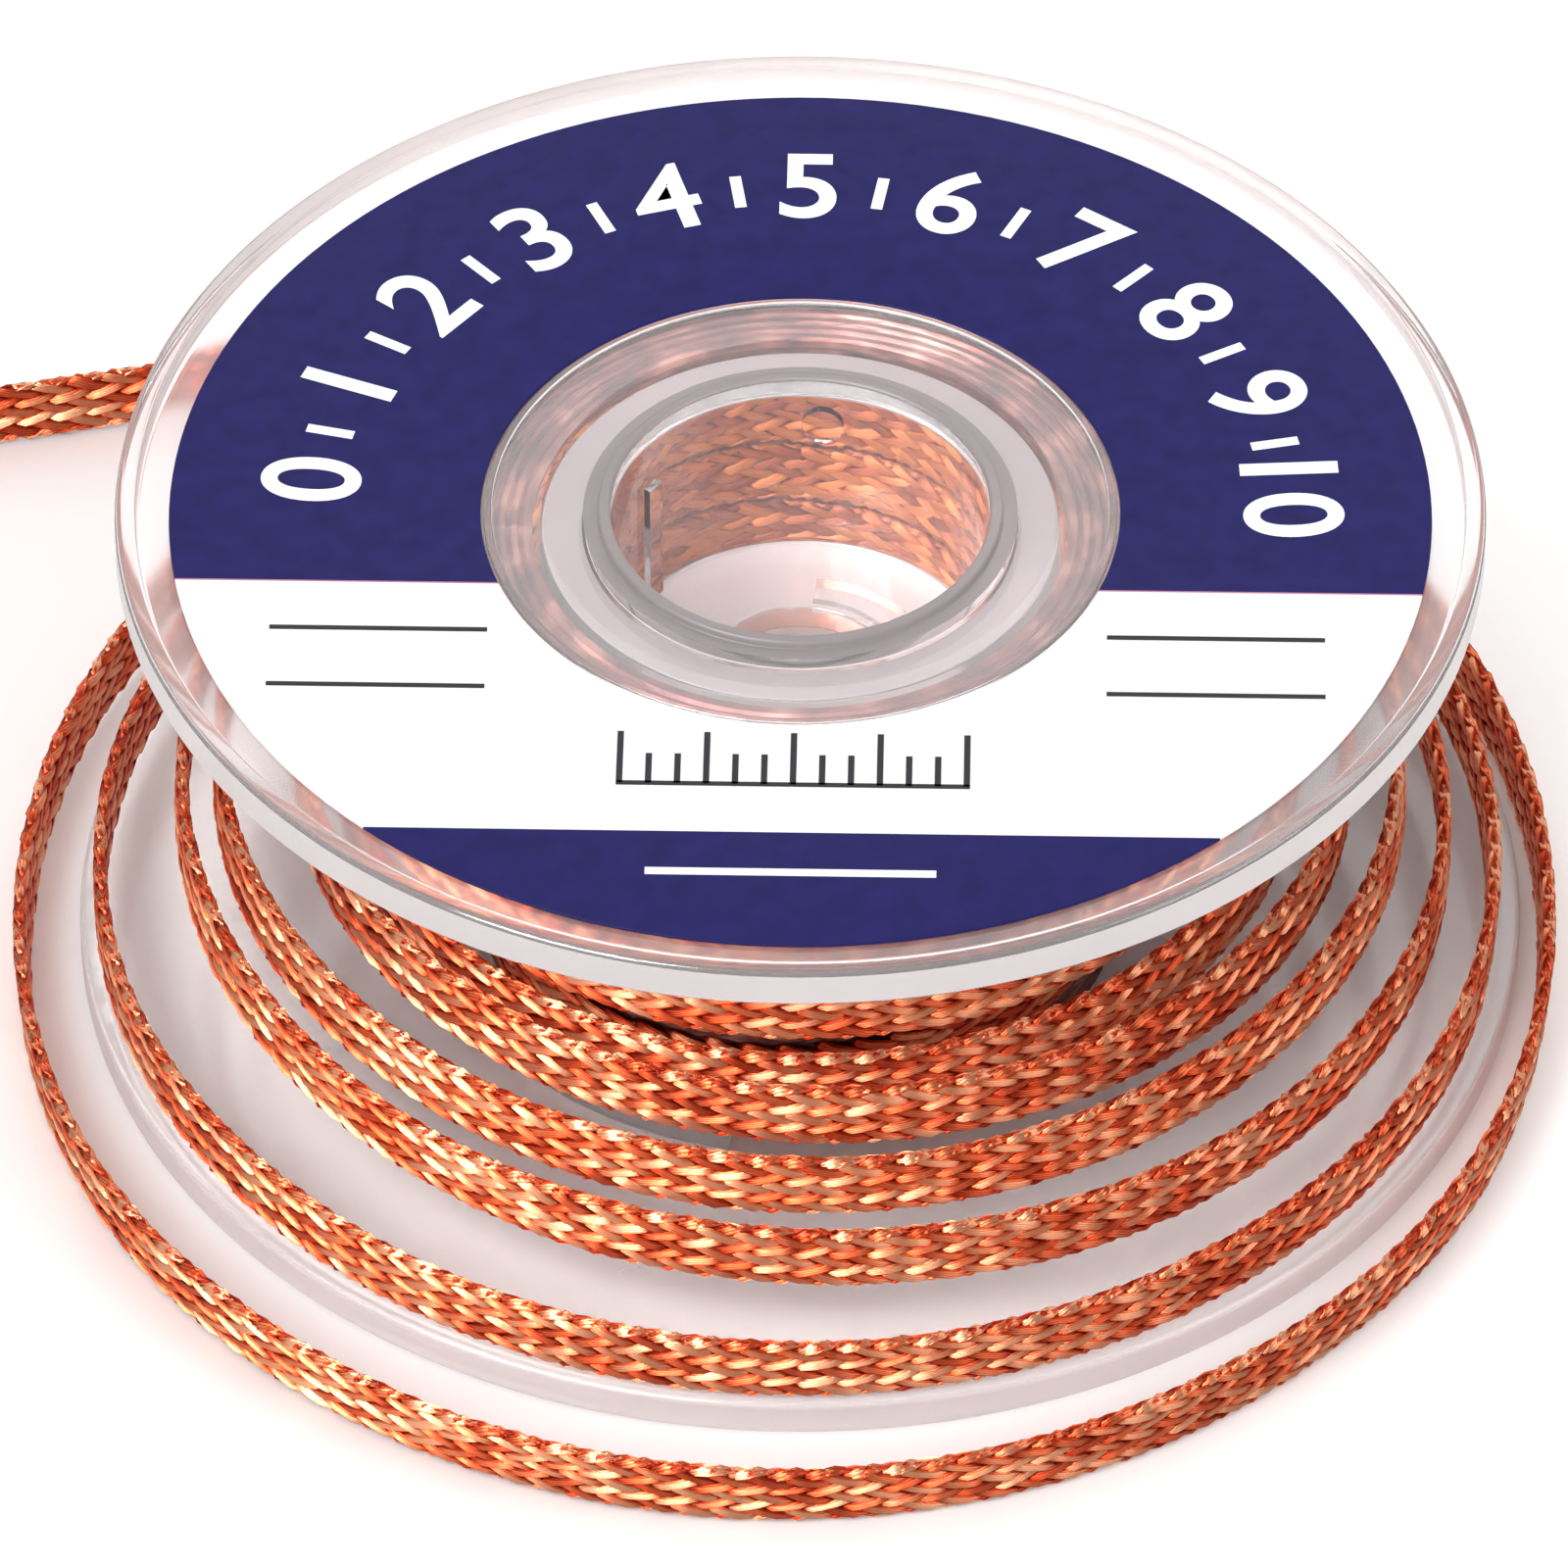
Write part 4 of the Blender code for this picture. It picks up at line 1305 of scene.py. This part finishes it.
def on_dial(step):
    """The angle of a step of the dial, and its place on the label."""
    angle = DIAL_START + (DIAL_END - DIAL_START) * step / DIAL_STEPS
    return angle, Vector((DIAL_RADIUS * math.cos(angle), DIAL_RADIUS * math.sin(angle), PRINT_LEVEL))


def line_across(length, width, x, y):
    """A printed line that runs across the label, its middle at x and y."""
    return bar_mesh(length, width, Vector((x, y, PRINT_LEVEL)), 0.0)


white_marks = []
for step in range(DIAL_STEPS + 1):
    angle, place = on_dial(step)
    white_marks.append(numeral_mesh(str(step), NUMERAL_SIZE, place, angle - math.pi / 2))
    if step < DIAL_STEPS:
        angle, place = on_dial(step + 0.5)
        white_marks.append(bar_mesh(TICK_LENGTH, TICK_WIDTH, place, angle))
white_marks.append(line_across(BAR_LENGTH, BAR_WIDTH, 0, BAR_Y))
dial = add_piece("label_dial", joined("label_dial", white_marks), white_ink)

# %% Ruled lines on the white band
LINE_WIDTH = 0.22 * MM
FIELD_LENGTH = 7.6 * MM
FIELD_X = 14.6 * MM
FIELD_ROWS = (-6.5 * MM, -9.4 * MM)
RULER_Y = -14.2 * MM
RULER_STEP = 1 * MM
RULER_HALF = 6
LONG_TICK = 2.6 * MM
SHORT_TICK = 1.5 * MM

black_marks = [line_across(FIELD_LENGTH, LINE_WIDTH, side * FIELD_X, y)
               for side in (-1, 1) for y in FIELD_ROWS]
for step in range(-RULER_HALF, RULER_HALF + 1):
    length = LONG_TICK if step % 3 == 0 else SHORT_TICK
    place = Vector((step * RULER_STEP, RULER_Y + length / 2, PRINT_LEVEL))
    black_marks.append(bar_mesh(length, LINE_WIDTH, place, math.pi / 2))
black_marks.append(line_across(2 * RULER_HALF * RULER_STEP + LINE_WIDTH, LINE_WIDTH, 0, RULER_Y))
rules = add_piece("label_rules", joined("label_rules", black_marks), black_ink)
print("print on the label:", len(dial.data.polygons) + len(rules.data.polygons), "faces")

# %% [markdown]
# ## The wound braid
# Most of the braid is still wound on the hub. Its body is a turned core with a groove between each two
# turns outside and each two layers at the ends. The outer layer is woven like the loose braid, along a
# helix, but only the rows that face outwards, and the innermost layer only the rows that face the hub,
# because they show through the clear barrel.

# %% Core of the winding
PACK_LAYERS = 5
PACK_TURNS = 6
PACK_GROOVE = 0.12 * MM
STREAK_SCALE = 1900.0
STREAKS_ROUND = 6.0


def grooved_line(start, end, parts, normal):
    """Points from start to end with a V groove between each two parts, cut against the normal."""
    points = [start]
    run = Vector(end) - Vector(start)
    half_width = run.normalized() * PACK_GROOVE
    for index in range(1, parts):
        middle = Vector(start) + run * (index / parts)
        for point in (middle - half_width, middle - Vector(normal) * PACK_GROOVE, middle + half_width):
            points.append((point.x, point.y))
    return points


core_in = PACK_INNER + 2 * SKIN
core_out = PACK_RADIUS - 2 * SKIN
core_outline = grooved_line((core_in, pack_low.z), (core_out, pack_low.z), PACK_LAYERS, (0, -1))
core_outline += grooved_line((core_out, pack_low.z), (core_out, pack_high.z), PACK_TURNS, (1, 0))
core_outline += grooved_line((core_out, pack_high.z), (core_in, pack_high.z), PACK_LAYERS, (0, 1))
core_outline.append((core_in, pack_high.z))
core_mesh = spun("wound_core", core_outline)
shade_round(core_mesh)

# Painted shade: the core lies under the outer weave and between the flanges, and its dark colours stand for
# the shade there.
wound_material, tree, shader = new_material("wound_copper_edges")
place = add_node(tree, "ShaderNodeTexCoord")
spot = add_node(tree, "ShaderNodeSeparateXYZ", place.outputs["Object"])
angle = calc(tree, "ARCTAN2", spot.outputs["Y"], spot.outputs["X"])
reach = add_node(tree, "ShaderNodeVectorMath", place.outputs["Object"], operation="LENGTH").outputs["Value"]
streak_place = add_node(tree, "ShaderNodeCombineXYZ", calc(tree, "MULTIPLY", angle, STREAKS_ROUND),
                        calc(tree, "MULTIPLY", reach, STREAK_SCALE),
                        calc(tree, "MULTIPLY", spot.outputs["Z"], STREAK_SCALE))
streaks = add_node(tree, "ShaderNodeTexNoise", streak_place)
streaks.inputs["Scale"].default_value = 1.0
streaks.inputs["Detail"].default_value = 3.0
tone = add_node(tree, "ShaderNodeMapRange", streaks, 0.32, 0.68, 0.0, 1.0)
edges = ramp(tree, tone, (0.0, (0.08, 0.025, 0.025)), (0.6, (0.22, 0.08, 0.07)), (1.0, (0.44, 0.21, 0.17)))
connect(tree, edges, shader.inputs["Base Color"])
shader.inputs["Metallic"].default_value = 0.9
connect(tree, uneven(tree, 900.0, 0.35, 0.5), shader.inputs["Roughness"])
bumped(tree, shader, tone, strength=0.7, distance=0.08 * MM)
wound_core = add_piece("wound_core", core_mesh, wound_material)
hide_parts("wound_braid")


# %% Outer and inner layer of the winding
def helix(radius, low, high, turns, start, steps_per_turn=72):
    """Points that climb round the axis from the height low to high."""
    steps = round(turns * steps_per_turn)
    points = []
    for step in range(steps + 1):
        angle = start + math.tau * turns * step / steps
        points.append(Vector((radius * math.cos(angle), radius * math.sin(angle),
                              low + (high - low) * step / steps)))
    return points


layer_low = pack_low.z + BRAID_WIDTH / 2
layer_high = pack_high.z - BRAID_WIDTH / 2
layer_turns = PACK_TURNS - 0.5
climb_to_leaving = layer_turns * (route[0].z - layer_low) / (layer_high - layer_low)
leaving_angle = math.atan2(route[0].y, route[0].x)
helix_start = leaving_angle - math.tau * climb_to_leaving
outer_helix = helix(PACK_RADIUS - BRAID_THICKNESS / 2, layer_low, layer_high, layer_turns, helix_start)
inner_helix = helix(PACK_INNER + BRAID_THICKNESS / 2, layer_low, layer_high, layer_turns, 0.0)
FACING_OUT = {"First row": 3.0, "Rows": 3.0}
FACING_IN = {"First row": 0.0, "Rows": 4.0}
for name, points, rows, seed in (("wound_weave_outer", outer_helix, FACING_OUT, 11),
                                 ("wound_weave_inner", inner_helix, FACING_IN, 12)):
    path = add_path(name + "_path", points, [0.0] * len(points))
    copper = copper_in_painted_shade if rows is FACING_IN else yarn_copper
    weave(name, path, 0.0, run_length(points), copper, seed, **rows)
    bpy.data.objects.remove(path)

# %% [markdown]
# ## Tidy up
# The helper objects have done their work.

# %% Finish
for helper in (yarn_float, loose_path):
    bpy.data.objects.remove(helper)
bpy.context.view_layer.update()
total = 0
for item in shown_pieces():
    item.data.calc_loop_triangles()
    total += len(item.data.loop_triangles)
print("triangles in all:", total)
